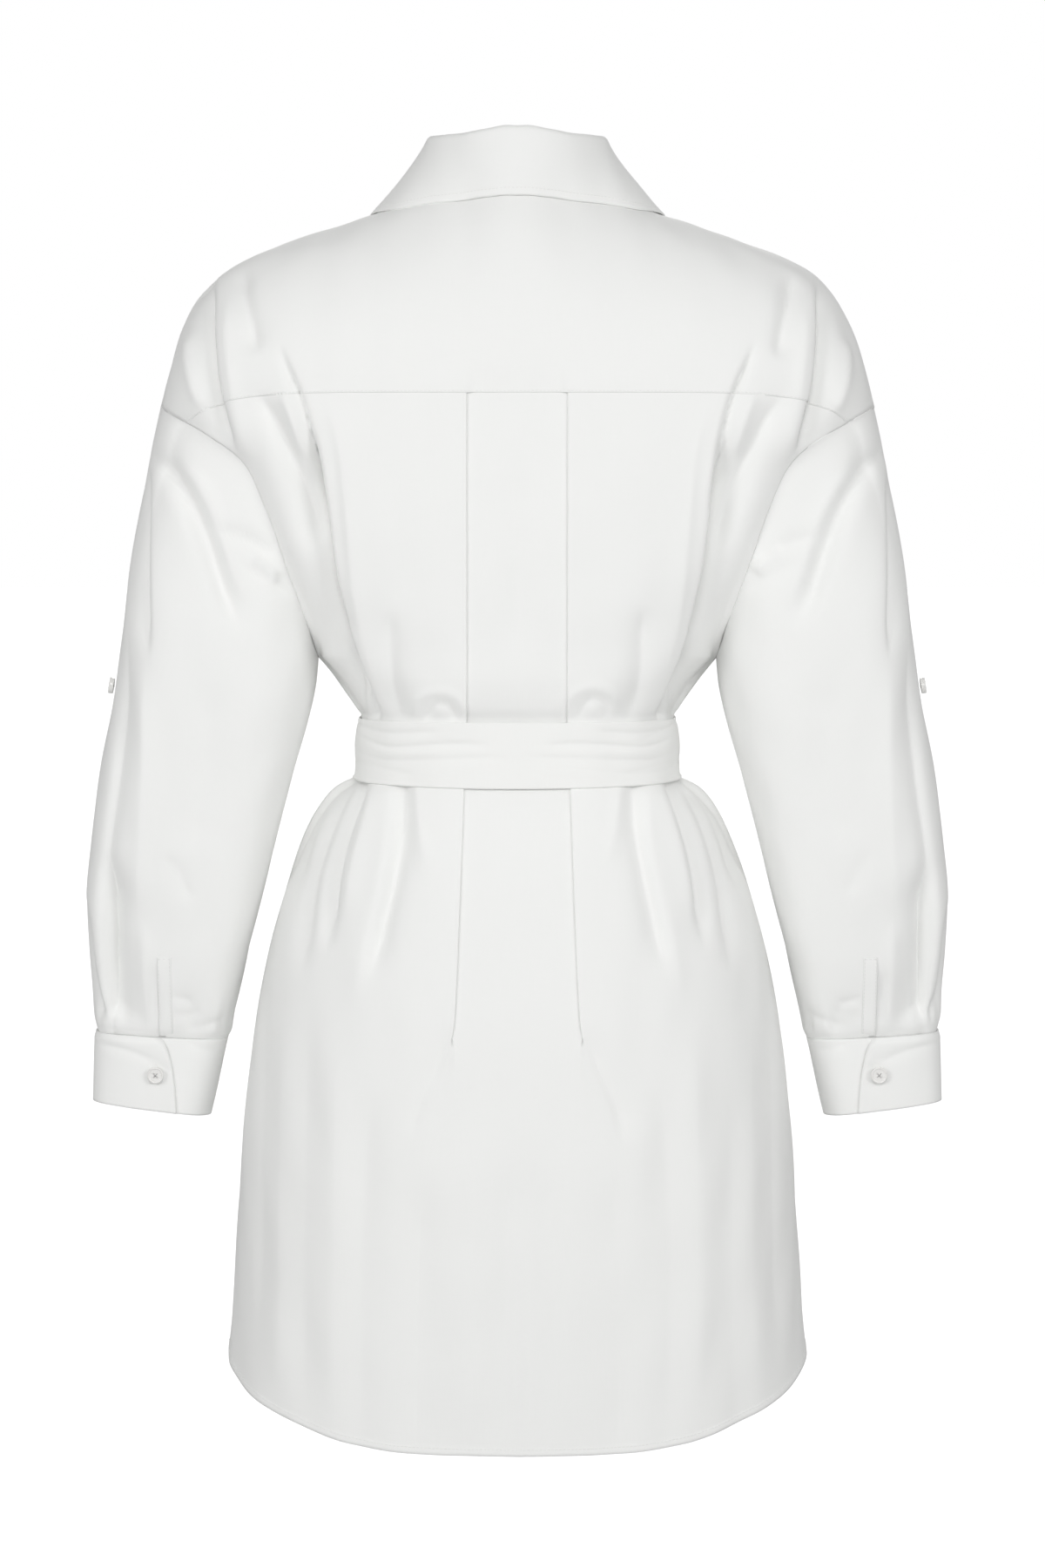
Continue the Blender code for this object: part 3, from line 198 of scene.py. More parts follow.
# Buttons: the rim, the dish within it and the ring of flat resin round the holes
BUTTON_RADIUS, BUTTON_THICK, TAB_BUTTON_THICK = 5.75, 2.6, 3.4
BUTTON_RIM, BUTTON_SLOPE, BUTTON_DISH, BUTTON_FLAT = 0.9, 0.5, 0.55, 2.2
BUTTON_EDGE, HOLE_RADIUS, HOLE_OFF = 0.35, 0.45, 1.2
THREAD_RADIUS, THREAD_LENGTH, THREAD_GAP, THREAD_LIFT, THREAD_LAYER = 0.28, 3.9, 0.42, 0.2, 0.12
SHANK_RADIUS, SHANK_LENGTH, SHANK_DROP = 1.3, 0.5, 0.2
# Sides of the round parts, and how their edges are rounded
BUTTON_SIDES, HOLE_SIDES, THREAD_SIDES, SHANK_SIDES = 40, 14, 8, 14
BEVEL_SEGMENTS, BEVEL_ANGLE, SMOOTH_ANGLE, THREAD_EDGE, THREAD_SEGMENTS = 3, 40, 35, 0.06, 2
FRONT_BUTTONS = 7
# How nearly a face looks up, or outward from the cloth, to count as doing so
FACES_UP, FACES_OUT = 0.9, 0.4

# Points of each cloth grid, across or down
CHEST_ROWS, WAIST_ROWS, SKIRT_ROWS, SKIRT_ROWS_BIAS, HEM_ROWS = (
    56, 44, 72, 1.25, (2.9855, 2.988, 2.9895, 2.995, 3.0)
)
YOKE_NECK_COLUMNS, YOKE_SIDE_COLUMNS, YOKE_ROWS = 56, 91, 74
CENTRE_COLUMNS, TURN_COLUMNS, LAID_COLUMNS, SIDE_COLUMNS = 19, 7, 8, 98
FRONT_NECK_COLUMNS, FRONT_SIDE_COLUMNS, FRONT_UPPER_ROWS, BAND_COLUMNS = 36, 64, 30, 26
SLEEVE_COLUMNS, SLEEVE_TOP_ROWS, SLEEVE_ROWS, SLEEVE_TOP = 229, 48, 90, 0.3
SLIT_BAND_COLUMNS, SLIT_BAND_ROWS, CUFF_COLUMNS, CUFF_ROWS = 9, 30, 200, 31
STAND_COLUMNS, STAND_ROWS, COLLAR_COLUMNS, ROLL_ROWS, FALL_ROWS = 190, 14, 191, 13, 26
SASH_QUARTER, SASH_ROWS, KNOT_COLUMNS, KNOT_ROWS = 66, 40, 103, 68
TAIL_COLUMNS, TAIL_TOP_ROWS, TAIL_ROWS, TAIL_TOP = 25, 30, 70, 0.16

# ------ folds

# A fold is pressed in by its depth along a path, with its own width towards the centre of the dress
# and away from it. A negative depth raises a ridge. Each row holds the depth, the width towards the
# centre, the width away from it, and then the x and z of the path's points.
BODY_FOLDS = {BACK: (
    # beside the armhole, from the shoulder down
    (11, 1.8, 8.5, (213, -58), (213.5, -80), (212.5, -105), (209.5, -135), (203, -162), (195, -186)),
    (-3, 4, 4, (229, -98), (230, -118), (226, -138), (218, -156)),
    (5, 6, 8, (192, -52), (190, -72), (184, -96), (180, -118)),
    (-3, 6, 7, (201, -70), (201, -105), (196, -150), (186, -196)),
    # the deep fold beside each pleated panel: a sharp line, then a wide band that narrows downwards
    (6, 1.6, 3.5, (166, -106), (157, -128), (148.5, -148), (141, -178), (137, -206), (134, -232)),
    (20, 2.2, 15, (144, -160), (139.5, -186), (136, -215), (130, -263), (122, -303), (105, -366)),
    (-2.5, 9, 4, (135, -140), (123, -176), (117, -235), (110, -300), (92, -364)),
    (8, 7, 7, (184, -138), (176, -149), (168, -163), (161, -179), (154, -201), (148, -228),
     (142, -258)),
    (-3, 4, 4, (163, -140), (154, -166), (149, -190)),
    # thin creases drawn down to the belt at the side
    (6.5, 3, 5, (131, -262), (126, -291), (111, -332), (101, -360), (93, -386)),
    (5, 3, 5, (134, -306), (126, -328), (117.5, -348), (109, -369), (102, -388)),
    (-2, 4, 4, (120, -300), (104, -340), (94, -366)),
    # the cloth bloused over the belt
    (3, 7, 6, (88, -290), (88, -325), (86, -350), (78, -376)),
    (-1.8, 3.6, 3.6, (73, -370), (69, -356), (56, -349.5), (42, -353), (33, -368)),
    (1.8, 3.6, 3.6, (64, -374), (58, -359.5), (48, -359), (40, -373)),
    # gathers below the belt
    (8.5, 9, 4.5, (80.5, -386), (80.8, -421), (82, -447), (88, -482), (95, -512), (103, -552)),
    (-1.5, 5, 9, (91, -396), (90, -445), (98, -490), (108, -530), (114, -574)),
    (8, 4.5, 8, (100, -386), (109, -419), (118, -442), (126, -470), (130, -500), (133, -534)),
    (-2.5, 8, 4, (98, -400), (107, -440), (115, -474), (121, -510)),
    (6.5, 5, 8, (112, -390), (123, -420), (134.5, -448), (144, -479), (148, -512), (151, -552)),
    (5, 4.5, 6, (112, -388), (123, -413), (141, -437), (153, -468), (160, -500)),
    (-2.5, 5, 6, (73, -396), (69, -440), (60, -476)),
    # the open ends of the pleats
    (2.5, 4, 9, (45, -577), (54, -604), (66, -630), (74, -658)),
    # long soft folds of the skirt
    (2.2, 24, 5, (180, -520), (179, -580), (179, -660), (180, -740), (181, -818)),
    (1.7, 14, 13, (142, -520), (146, -600), (148, -700), (149, -800), (150, -880)),
    (-2, 12, 12, (164, -560), (166, -660), (167, -760), (167, -850)),
    (2.7, 14, 14, (98, -600), (106, -680), (108, -760), (108, -880)),
    (-2, 14, 14, (122, -570), (127, -660), (128, -760), (128, -870)),
    (2.8, 16, 16, (62, -680), (68, -760), (68, -885)),
    (-1.9, 18, 18, (30, -640), (34, -750), (36, -880)),
    (2.1, 14, 14, (6, -660), (8, -760), (8, -885)),
    (1.4, 9, 9, (0, -190), (0, -240), (0, -330)),
), FRONT: (
    (7, 4, 9, (200, -75), (197, -120), (190, -160), (182, -196)),
    (6, 4, 12, (152, -170), (136, -220), (122, -280), (104, -376)),
    (-3, 9, 8, (134, -180), (118, -230), (104, -290), (88, -360)),
    (3, 2.4, 3.4, (126, -306), (116, -336), (104, -378)),
    (3, 2.4, 3.4, (117, -296), (108, -334), (96, -378)),
    (4, 4, 8, (78, -290), (74, -330), (66, -378)),
    (3.5, 4, 6, (50, -330), (48, -350), (42, -378)),
    (5, 3, 8, (48, -402), (52, -470), (62, -540)),
    (5, 3, 8, (78, -402), (88, -460), (104, -520), (112, -560)),
    (5, 3, 7, (104, -402), (120, -455), (136, -505)),
    (-3, 6, 6, (62, -402), (70, -470), (82, -540)),
    (-3, 6, 6, (92, -402), (104, -460), (120, -520)),
    (3, 14, 14, (150, -600), (156, -700), (158, -850)),
    (-2.5, 14, 14, (118, -600), (124, -700), (126, -850)),
    (2.2, 14, 14, (84, -600), (88, -700), (90, -860)),
)}
SLEEVE_FOLDS = {BACK: (
    # drawn from the shoulder seam down towards the underarm
    (8.5, 9, 5.5, (268, -182), (254, -190), (243, -198), (230, -217), (219, -241), (210, -266),
     (203, -288), (190, -312)),
    (-3.5, 5, 7, (240, -188), (222, -206), (208, -236), (199, -266), (190, -290)),
    (3, 4, 6, (214, -236), (200, -239), (184, -245), (168, -256)),
    (1.5, 4, 5, (196, -262), (184, -266), (172, -272), (156, -284)),
    (-3, 5, 5, (186, -254), (176, -262), (166, -274)),
    (5, 2, 7, (261, -184), (260.5, -220), (260, -260), (259, -300), (258, -330)),
    # long folds along the outside of the arm
    (4.5, 9, 4, (273, -292), (277, -360), (281, -410), (289, -466), (291, -520), (289, -566),
     (285, -596)),
    (-3, 8, 8, (262, -330), (262, -400), (266, -470), (270, -520)),
    (3, 16, 12, (214, -340), (218, -400), (228, -470)),
    (2.2, 5, 5, (246, -466), (236, -484), (230, -500)),
    # into the cuff: a tuck at the outside, the slit beside its band, short creases inside it
    (11, 17, 3.6, (290, -462), (290.5, -530), (289.5, -566), (287, -600), (284, -640)),
    (4.5, 2.6, 3, (307, -496), (305, -540), (301.6, -564), (295.4, -582.5), (286.5, -599),
     (277, -616)),
    (3, 2.4, 3.5, (257, -543), (256.8, -560), (256, -585), (255.5, -612)),
    (-2, 3, 6, (264, -510), (263, -550), (261, -600)),
    (1.3, 3, 3, (246, -569), (238, -570), (228, -574)),
    (1.1, 3, 3, (246, -581), (235, -583), (222, -579)),
    (1.6, 3, 3.5, (248, -591), (234, -594), (220, -590), (206, -584)),
), FRONT: (
    (6, 12, 7, (256, -190), (236, -215), (214, -255), (198, -306)),
    (-4, 9, 9, (244, -190), (220, -222), (200, -262)),
    (4, 7, 5, (216, -262), (194, -276), (172, -280)),
    (5, 12, 8, (272, -340), (250, -366), (216, -384), (184, -404)),
    (-4, 10, 10, (274, -366), (250, -392), (218, -412)),
    (4, 12, 8, (284, -410), (262, -432), (232, -446), (204, -456)),
    (4, 10, 10, (236, -480), (242, -520), (250, -585)),
    (3, 4, 4, (270, -552), (268, -572), (266, -600)),
    (3, 4, 4, (228, -556), (229, -576), (230, -602)),
)}
CUFF_FOLDS = (
    (1.5, 2.5, 4, (304, -603), (282, -607), (266, -612), (252, -620), (242, -628)),
    (0.8, 3, 4, (236, -602), (224, -607), (212, -609)),
)
SASH_FOLDS = {BACK: (
    (1.5, 1.8, 4, (118, -380), (104, -386), (92, -389), (78, -388.5), (60, -386.5), (38, -385.5),
     (12, -387)),
    (1.0, 1.8, 4.5, (118, -393), (98, -398), (80, -398), (55, -396.5), (25, -395), (0, -395)),
    (1.1, 2, 4, (118, -375), (103, -378), (88, -379.5), (66, -378), (50, -377)),
    (-0.8, 3, 3, (112, -386), (96, -392), (78, -393), (50, -391)),
    (0.8, 2.5, 6, (120, -404), (104, -403), (90, -405), (70, -408)),
), FRONT: (
    (1.4, 1.8, 4, (118, -384), (100, -388), (80, -390), (55, -389), (24, -390)),
    (1.1, 1.8, 4, (118, -398), (96, -400), (70, -399), (45, -396), (22, -394)),
    (1.0, 2, 4, (110, -377), (88, -380), (60, -383), (24, -386)),
)}
FOLD_END_SHARE, FOLD_SHARPNESS, FOLD_LEG_POINTS = 0.22, 1.5, 5
# On the right side each fold is moved across and up and its depth changed, all within these
UNEVEN_ACROSS, UNEVEN_UP, UNEVEN_DEPTH = 3, 5, (0.75, 1.15)
BODY_SEED, SLEEVE_SEED, RIPPLE_SEED, SASH_SEED = 3, 5, 11, 21
# The folds of the two sides pass into each other over this width
SIDES_MEET = 30.0
# Folds die out towards a seam's edge, and the belt presses them flat
FOLD_SEAM_FADE, BELT_HOLD, BELT_HOLD_HALF = 8.0, 0.16, 19.0
BELT_HOLD_REACHES = {BACK: 10.0, FRONT: 18.0}
YOKE_LAP, YOKE_LAP_ROWS, YOKE_LAP_TRIM = 0.05, (0.014, 0.007), 0.9995
YOKE_LIFT, YOKE_RISE, YOKE_OUTER_FROM = 0.25, 0.12, 0.2
RIPPLES, RIPPLE_LENGTHS, RIPPLE_HEIGHT, RIPPLE_HEADING = 12, (26.0, 95.0), 0.16, (1, 1, 0.45)

# ------ curves and folds


class Curve:
    """Smooth curve through a table's rows by the first column, never past a row's own values."""

    def __init__(self, rows):
        table = np.array(sorted(rows), float)
        self.keys, self.values = table[:, 0], table[:, 1:]
        slopes = np.diff(self.values, axis=0) / np.diff(self.keys)[:, None]
        inner = np.zeros_like(slopes[1:])
        same_way = slopes[1:] * slopes[:-1] > 0
        before, after = slopes[:-1][same_way], slopes[1:][same_way]
        inner[same_way] = 2 * before * after / (before + after)
        self.slopes = np.vstack((slopes[:1], inner, slopes[-1:]))

    def __call__(self, key):
        """The other columns at this key, each in the key's own shape."""
        key = np.clip(np.asarray(key, float), self.keys[0], self.keys[-1])
        i = np.clip(np.searchsorted(self.keys, key, "right") - 1, 0, len(self.keys) - 2)
        step = np.asarray(self.keys[i + 1] - self.keys[i])[..., None]
        t = np.asarray(key - self.keys[i])[..., None] / step
        value = (
            (1 + 2 * t) * (1 - t) ** 2 * self.values[i]
            + t * (1 - t) ** 2 * step * self.slopes[i]
            + t * t * (3 - 2 * t) * self.values[i + 1]
            + t * t * (t - 1) * step * self.slopes[i + 1]
        )
        columns = np.moveaxis(value, -1, 0)
        return columns if len(columns) > 1 else columns[0]


class Route:
    """Polyline read by the share of its length."""

    def __init__(self, points):
        self.points = np.array(points, float)
        steps = np.linalg.norm(np.diff(self.points, axis=0), axis=1)
        self.length = np.concatenate(([0], np.cumsum(steps)))

    def at(self, share):
        along = np.asarray(share) * self.length[-1]
        return np.stack([np.interp(along, self.length, column) for column in self.points.T], -1)


def smooth_route(points, per_leg=12):
    """Route on a Catmull-Rom curve through the points."""
    known = [np.array(p, float) for p in points]
    known = [2 * known[0] - known[1], *known, 2 * known[-1] - known[-2]]
    curve = []
    for a, b, c, d in zip(known, known[1:], known[2:], known[3:]):
        for t in (i / per_leg for i in range(per_leg)):
            curve.append(
                b + 0.5 * t * (c - a) + t * t * (a - 2.5 * b + 2 * c - 0.5 * d)
                + t ** 3 * (1.5 * b - 0.5 * a - 1.5 * c + 0.5 * d)
            )
    return Route([*curve, known[-2]])


def lerp(a, b, t):
    return a + (b - a) * t


def smooth(t):
    t = np.clip(t, 0.0, 1.0)
    return t * t * (3 - 2 * t)


def signed_power(value, exponent):
    return np.sign(value) * np.abs(value) ** exponent


def bisect(low, high, before, rounds=30):
    """Where this stops being true between the two."""
    for _ in range(rounds):
        middle = (low + high) / 2
        short = before(middle)
        low, high = np.where(short, middle, low), np.where(short, high, middle)
    return low


def points_of(x, y, z):
    return np.stack(np.broadcast_arrays(x, y, z), -1)


def stacked(rows):
    """Points and outward directions of a whole grid from those of its rows."""
    return [np.array(part) for part in zip(*rows)]


def side_of(x):
    return np.where(np.asarray(x) < 0, RIGHT, LEFT)


def mirrored(points, side):
    """Points or directions of the left side, taken to this side."""
    return points * points_of(side, 1, 1)


def both_sides(half, sign=1):
    """A row's values from its centre out, completed to both sides."""
    return np.concatenate((sign * half[:0:-1], half))


side_at, depth_at, shoulder_at = Curve(SIDES), Curve(DEPTHS), Curve(SHOULDERS)
hem_rise_at, pleat_at = Curve(HEM_RISES), Curve(PLEATS)
ring_at, cuff_ring_at = Curve(RINGS), Curve(CUFF_RINGS)
stand_at, fall_edge_at, roll_at, tail_at = Curve(STANDS), Curve(FALLS), Curve(ROLLS), Curve(TAILS)
armhole = smooth_route(ARMHOLE)


def beside(route, x, z):
    """Distance from a route, negative on its inner side as it runs down, and the share there."""
    nearest = np.full(x.shape, 1e9)
    away, share = np.zeros(x.shape), np.zeros(x.shape)
    legs = zip(route.points, route.points[1:], route.length, route.length[1:])
    for (ax, az), (bx, bz), start, end in legs:
        run_x, run_z = bx - ax, bz - az
        t = np.clip(((x - ax) * run_x + (z - az) * run_z) / (run_x ** 2 + run_z ** 2), 0, 1)
        off_x, off_z = x - ax - t * run_x, z - az - t * run_z
        d = np.hypot(off_x, off_z)
        closer = d < nearest
        nearest[closer] = d[closer]
        away[closer] = (np.sign(run_x * off_z - run_z * off_x) * d)[closer]
        share[closer] = (lerp(start, end, t) / route.length[-1])[closer]
    return away, share


def relief(folds, points):
    """How far the cloth stands out from its plain form here: troughs below it, ridges above."""
    x, z = np.abs(points[..., 0]), points[..., 2]
    total = np.zeros(x.shape)
    for depth, inner, outer, *path in folds:
        route = smooth_route(path, FOLD_LEG_POINTS)
        reach = 3 * max(inner, outer)
        low, high = route.points.min(0) - reach, route.points.max(0) + reach
        near = (x > low[0]) & (x < high[0]) & (z > low[1]) & (z < high[1])
        if near.any():
            away, share = beside(route, x[near], z[near])
            width = np.where(away < 0, inner, outer)
            ends = smooth(share / FOLD_END_SHARE) * smooth((1 - share) / FOLD_END_SHARE)
            total[near] -= depth * ends * np.exp(-np.abs(away / width) ** FOLD_SHARPNESS)
    return total


def uneven(table, seed):
    """The folds of the other side: each a little shifted, deeper or shallower."""
    chance = np.random.default_rng(seed)

    def varied(depth, inner, outer, *path):
        across = chance.uniform(-UNEVEN_ACROSS, UNEVEN_ACROSS)
        up = chance.uniform(-UNEVEN_UP, UNEVEN_UP)
        path = [(x + across, z + up) for x, z in path]
        return (depth * chance.uniform(*UNEVEN_DEPTH), inner, outer, *path)

    return {face: [varied(*fold) for fold in folds] for face, folds in table.items()}


BODY = {LEFT: BODY_FOLDS, RIGHT: uneven(BODY_FOLDS, BODY_SEED)}
SLEEVES = {LEFT: SLEEVE_FOLDS, RIGHT: uneven(SLEEVE_FOLDS, SLEEVE_SEED)}


def body_relief(face, points):
    """Folds of the body at these places, those of the two sides meeting in the middle."""
    left, right = (relief(BODY[side][face], points) for side in (LEFT, RIGHT))
    past_belt = np.abs(points[..., 2] - KNOT_Z) - BELT_HOLD_HALF
    held = lerp(BELT_HOLD, 1, smooth(past_belt / BELT_HOLD_REACHES[face]))
    return lerp(right, left, smooth((points[..., 0] + SIDES_MEET / 2) / SIDES_MEET)) * held


def rippled(points, out):
    """The cloth with the faint unevenness that all of it has."""
    chance = np.random.default_rng(RIPPLE_SEED)
    rise = np.zeros(points.shape[:-1])
    for _ in range(RIPPLES):
        heading = chance.normal(size=3) * RIPPLE_HEADING
        heading *= 2 * math.pi / chance.uniform(*RIPPLE_LENGTHS) / np.linalg.norm(heading)
        rise += np.sin(points @ heading + chance.uniform(0, 2 * math.pi))
    return points + out * (rise * RIPPLE_HEIGHT)[..., None]


# ------ form of the body


def sag(t):
    """Fall from the centre line to the side of a row that hangs a little."""
    return t ** SAG


def level_then_sag(v):
    """Fall of a row below the yoke seam, which comes to hang as the others do."""
    return lambda t: t ** lerp(SEAM_LEVEL, SAG, smooth(v / LEVEL_UNTIL))


class Row:
    """A row of the body on one face, read by the length from its centre, positive on the left."""

    STEPS = 240

    def __init__(self, face, centre_z, edge, bow):
        back, front, fullness = depth_at(centre_z)
        self.face, self.centre_z, self.edge_z, self.bow = face, centre_z, edge[2], bow
        opened = smooth(edge[1] / ARMHOLE_TURN_Y)
        power = 2 / (fullness + ARMHOLE_FULLNESS * opened)
        angle = np.linspace(0, math.radians(lerp(90, ARMHOLE_END_ANGLE, opened)), self.STEPS + 1)
        depth = back if face == BACK else front
        across, inward = np.sin(angle) ** power, np.cos(angle).clip(0) ** power
        self.x = edge[0] * across / across[-1]
        self.y = edge[1] + (depth - edge[1]) * (inward - inward[-1]) / (1 - inward[-1])
        steps = np.hypot(np.diff(self.x), np.diff(self.y))
        self.lengths = np.concatenate(([0], np.cumsum(steps)))
        self.tangent_x = np.gradient(self.x, self.lengths)
        self.tangent_y = np.gradient(self.y, self.lengths)
        self.length = self.lengths[-1]

    def along(self, x):
        return np.interp(x, self.x, self.lengths)

    def place(self, along, lift=0.0):
        """Points at these lengths, moved outward by lift, and the outward direction there."""
        along = np.asarray(along, float)
        side, away = side_of(along), np.abs(along)
        columns = (self.x, self.y, self.tangent_x, self.tangent_y)
        x, y, tx, ty = (np.interp(away, self.lengths, column) for column in columns)
        z = lerp(self.centre_z, self.edge_z, self.bow(np.minimum(away / self.length, 1.0)))
        size = np.hypot(tx, ty)
        out = points_of(-side * ty / size, self.face * tx / size, 0)
        return points_of(side * x, self.face * y, z) + out * np.asarray(lift)[..., None], out


def armhole_edge(face, share):
    x, y, z = armhole.at(share)
    return x, y if face == BACK else y * FRONT_ARMHOLE_DEPTH, z


def side_edge(z):
    """The body's side at this height, where its two faces meet."""
    return float(side_at(z)), 0, z


def body_row(face, v):
    """Rows of the body: 0 is the yoke seam, 1 the underarm, 2 the belt's lower edge, 3 the hem."""
    if v <= 1:
        return Row(face, lerp(YOKE_Z, CHEST_Z, v), armhole_edge(face, v), level_then_sag(v))
    if v <= 2:
        edge = side_edge(lerp(UNDERARM_Z, BELT_BOTTOM_SIDE_Z, v - 1))
        return Row(face, lerp(CHEST_Z, BELT_BOTTOM_Z, v - 1), edge, sag)
    edge = side_edge(lerp(BELT_BOTTOM_SIDE_Z, HEM_SIDE_Z, v - 2))
    return Row(face, lerp(BELT_BOTTOM_Z, HEM_Z, v - 2), edge, hem_rise_at)


class Shoulders:
    """The body above the yoke seam: arches over the shoulder, down to the seam's height in front."""

    # Half the distance over which an arch's direction is measured
    NEAR = 2

    def __init__(self):
        self.rows = {face: body_row(face, 0) for face in (BACK, FRONT)}

    def base(self, seam_x, angle):
        """Point over this place on the yoke seam: 0 at the back seam, 90 on top, 180 in front."""
        seam_x, angle = np.broadcast_arrays(np.asarray(seam_x, float), np.asarray(angle, float))
        behind = angle <= 90
        feet = [row.place(row.along(seam_x))[0] for row in self.rows.values()]
        foot = np.where(behind[..., None], *feet)
        turn = np.radians(np.where(behind, angle, 180 - angle))
        top_x, top_z = shoulder_at(seam_x)
        power = np.where(behind, 2 / BACK_FULLNESS, 2 / FRONT_FULLNESS)
        rise = np.clip(np.sin(turn), 0, 1) ** power
        reach = np.clip(np.cos(turn), 0, 1) ** power
        return points_of(
            lerp(foot[..., 0], top_x, rise), foot[..., 1] * reach, lerp(foot[..., 2], top_z, rise)
        )

    def place(self, seam_x, angle, lift=0.0):
        """Folded points over these places, moved outward by lift, and the outward direction."""
        side, near = side_of(seam_x), self.NEAR
        seam_x = np.minimum(np.abs(seam_x), YOKE_END)
        seam_x, angle = np.broadcast_arrays(seam_x, np.asarray(angle, float))
        across = (
            self.base(np.minimum(seam_x + near, YOKE_END), angle)
            - self.base(np.maximum(seam_x - near, 0), angle)
        )
        over = (
            self.base(seam_x, np.minimum(angle + near, 180))
            - self.base(seam_x, np.maximum(angle - near, 0))
        )
        out = -np.cross(across, over)
        out /= np.linalg.norm(out, axis=-1)[..., None]
        here, out = mirrored(self.base(seam_x, angle), side), mirrored(out, side)
        folded = np.where(angle <= 90, body_relief(BACK, here), body_relief(FRONT, here))
        seam = self.rows[BACK]
        folded = folded * smooth((seam.length - seam.along(seam_x)) / FOLD_SEAM_FADE)
        return here + out * (lift + folded)[..., None], out

    def angle_at(self, seam_x, y):
        """Angle at which the arch over this place crosses y."""
        seam_x = np.abs(np.asarray(seam_x, float))
        low, high = np.zeros(seam_x.shape), np.full(seam_x.shape, 180.0)
        return bisect(low, high, lambda angle: self.base(seam_x, angle)[..., 1] > y)


shoulders = Shoulders()


def neck_x(bearing):
    return NECK_HALF_WIDTH * np.sin(np.radians(bearing))


def neck_angle(x, face):
    """Angle on the shoulder arch at which the neckline crosses it."""
    reach = np.sqrt(np.clip(1 - (x / NECK_HALF_WIDTH) ** 2, 0, 1))
    y = NECK_CENTRE_Y + reach * np.where(face == BACK, NECK_BACK, -NECK_FRONT)
    return shoulders.angle_at(x, y)


def neck_face(bearing):
    return np.where(np.cos(np.radians(bearing)) >= 0, BACK, FRONT)


def neckline(bearing):
    """Neckline by its bearing seen from above: 0 at the centre back, 180 at the centre front."""
    x = neck_x(bearing)
    return mirrored(shoulders.base(np.abs(x), neck_angle(x, neck_face(bearing))), side_of(x))


# Where the neckline meets the front yoke seam
CORNER_BEARING = float(bisect(
    90.0, 150.0, lambda bearing: neck_angle(neck_x(bearing), FRONT) < FRONT_SEAM_ANGLE, 20
))
CORNER_X = neck_x(CORNER_BEARING)


def armhole_loop(face, steps=60):
    """Half of the armhole on one face, from the top of the shoulder to the underarm."""
    over = shoulders.base(YOKE_END, 90 - face * np.arange(0, 91, 5.0))
    under = (armhole_edge(face, i / steps) for i in range(1, steps + 1))
    return Route([*over, *((x, face * y, z) for x, y, z in under)])


ARMHOLE_LOOPS = {face: armhole_loop(face) for face in (BACK, FRONT)}


# ------ form of the arm


def fullness_at(table, share):
    return lerp(SLEEVE_FULLNESS, CUFF_FULLNESS, share) if table is ring_at else CUFF_FULLNESS


def ring_point(table, turn, share):
    """Point on a slanted ring of the arm: turn 0 outside, 90 behind, 180 inside, 270 in front."""
    outer_x, outer_z, inner_x, inner_z, half_depth, y = table(share)
    power = 2 / fullness_at(table, share)
    c, s = (signed_power(wave(np.radians(turn)), power) for wave in (np.cos, np.sin))
    return points_of(
        (outer_x + inner_x) / 2 + c * (outer_x - inner_x) / 2,
        y + s * half_depth,
        (outer_z + inner_z) / 2 + c * (outer_z - inner_z) / 2,
    )


def sleeve_base(turn, share):
    """Sleeve without folds: the armhole's own form at the top, rings of the arm below it."""
    turn, share = np.broadcast_arrays(np.asarray(turn, float) % 360, np.asarray(share, float))
    held = (np.clip(1 - share / SEAM_SHAPE_SHARE, 0, 1) ** 2)[..., None]
    behind = ARMHOLE_LOOPS[BACK].at(turn / 180)
    before = ARMHOLE_LOOPS[FRONT].at((360 - turn) / 180)
    seam = np.where((turn <= 180)[..., None], behind, before)
    return lerp(ring_point(ring_at, turn, share), seam, held)


def cuff_base(turn, share):
    return ring_point(cuff_ring_at, turn, share)


def outward(base, turn, share):
    """Outward direction of a ring surface."""
    low, high = np.maximum(share - SHARE_STEP, 0), np.minimum(share + SHARE_STEP, 1)
    around = base(turn + TURN_STEP, share) - base(turn - TURN_STEP, share)
    out = -np.cross(around, base(turn, high) - base(turn, low))
    return out / np.linalg.norm(out, axis=-1)[..., None]


def sleeve_place(turn, share, lift, side):
    """Points of the left sleeve with the folds of either one and the gathers into the cuff."""
    turn, share = np.broadcast_arrays(np.asarray(turn, float), np.asarray(share, float))
    here, out = sleeve_base(turn, share), outward(sleeve_base, turn, share)
    folds = SLEEVES[side]
    folded = np.where(turn % 360 <= 180, relief(folds[BACK], here), relief(folds[FRONT], here))
    held = smooth(np.abs(np.sin(np.radians(turn))) / SLEEVE_EDGE_HELD)
    held = held * smooth(share / SLEEVE_TOP_HELD)
    held = held * lerp(1, CUFF_HOLD, smooth((share - CUFF_HELD[0]) / CUFF_HELD[1]))
    height, number, shift = FINE_GATHERS
    fine = height * np.sin(np.radians(number * turn + shift * side))
    waves = np.sin(np.radians(CUFF_GATHERS * turn)) + fine
    drawn_in = smooth((share - CUFF_GATHER_FROM) / (1 - CUFF_GATHER_FROM))
    gathers = CUFF_GATHER_HEIGHT * drawn_in * waves
    gathers = gathers * (1 - smooth((share - GATHER_HELD[0]) / GATHER_HELD[1]))
    return here + out * (lift + folded * held + gathers)[..., None], out


def turn_at_x(table, share, x):
    """Turn on the back of a ring at which it crosses x."""
    outer_x, _, inner_x, _, _, _ = table(share)
    c = (x - (outer_x + inner_x) / 2) / ((outer_x - inner_x) / 2)
    return np.degrees(np.arccos(signed_power(c, fullness_at(table, share) / 2)))


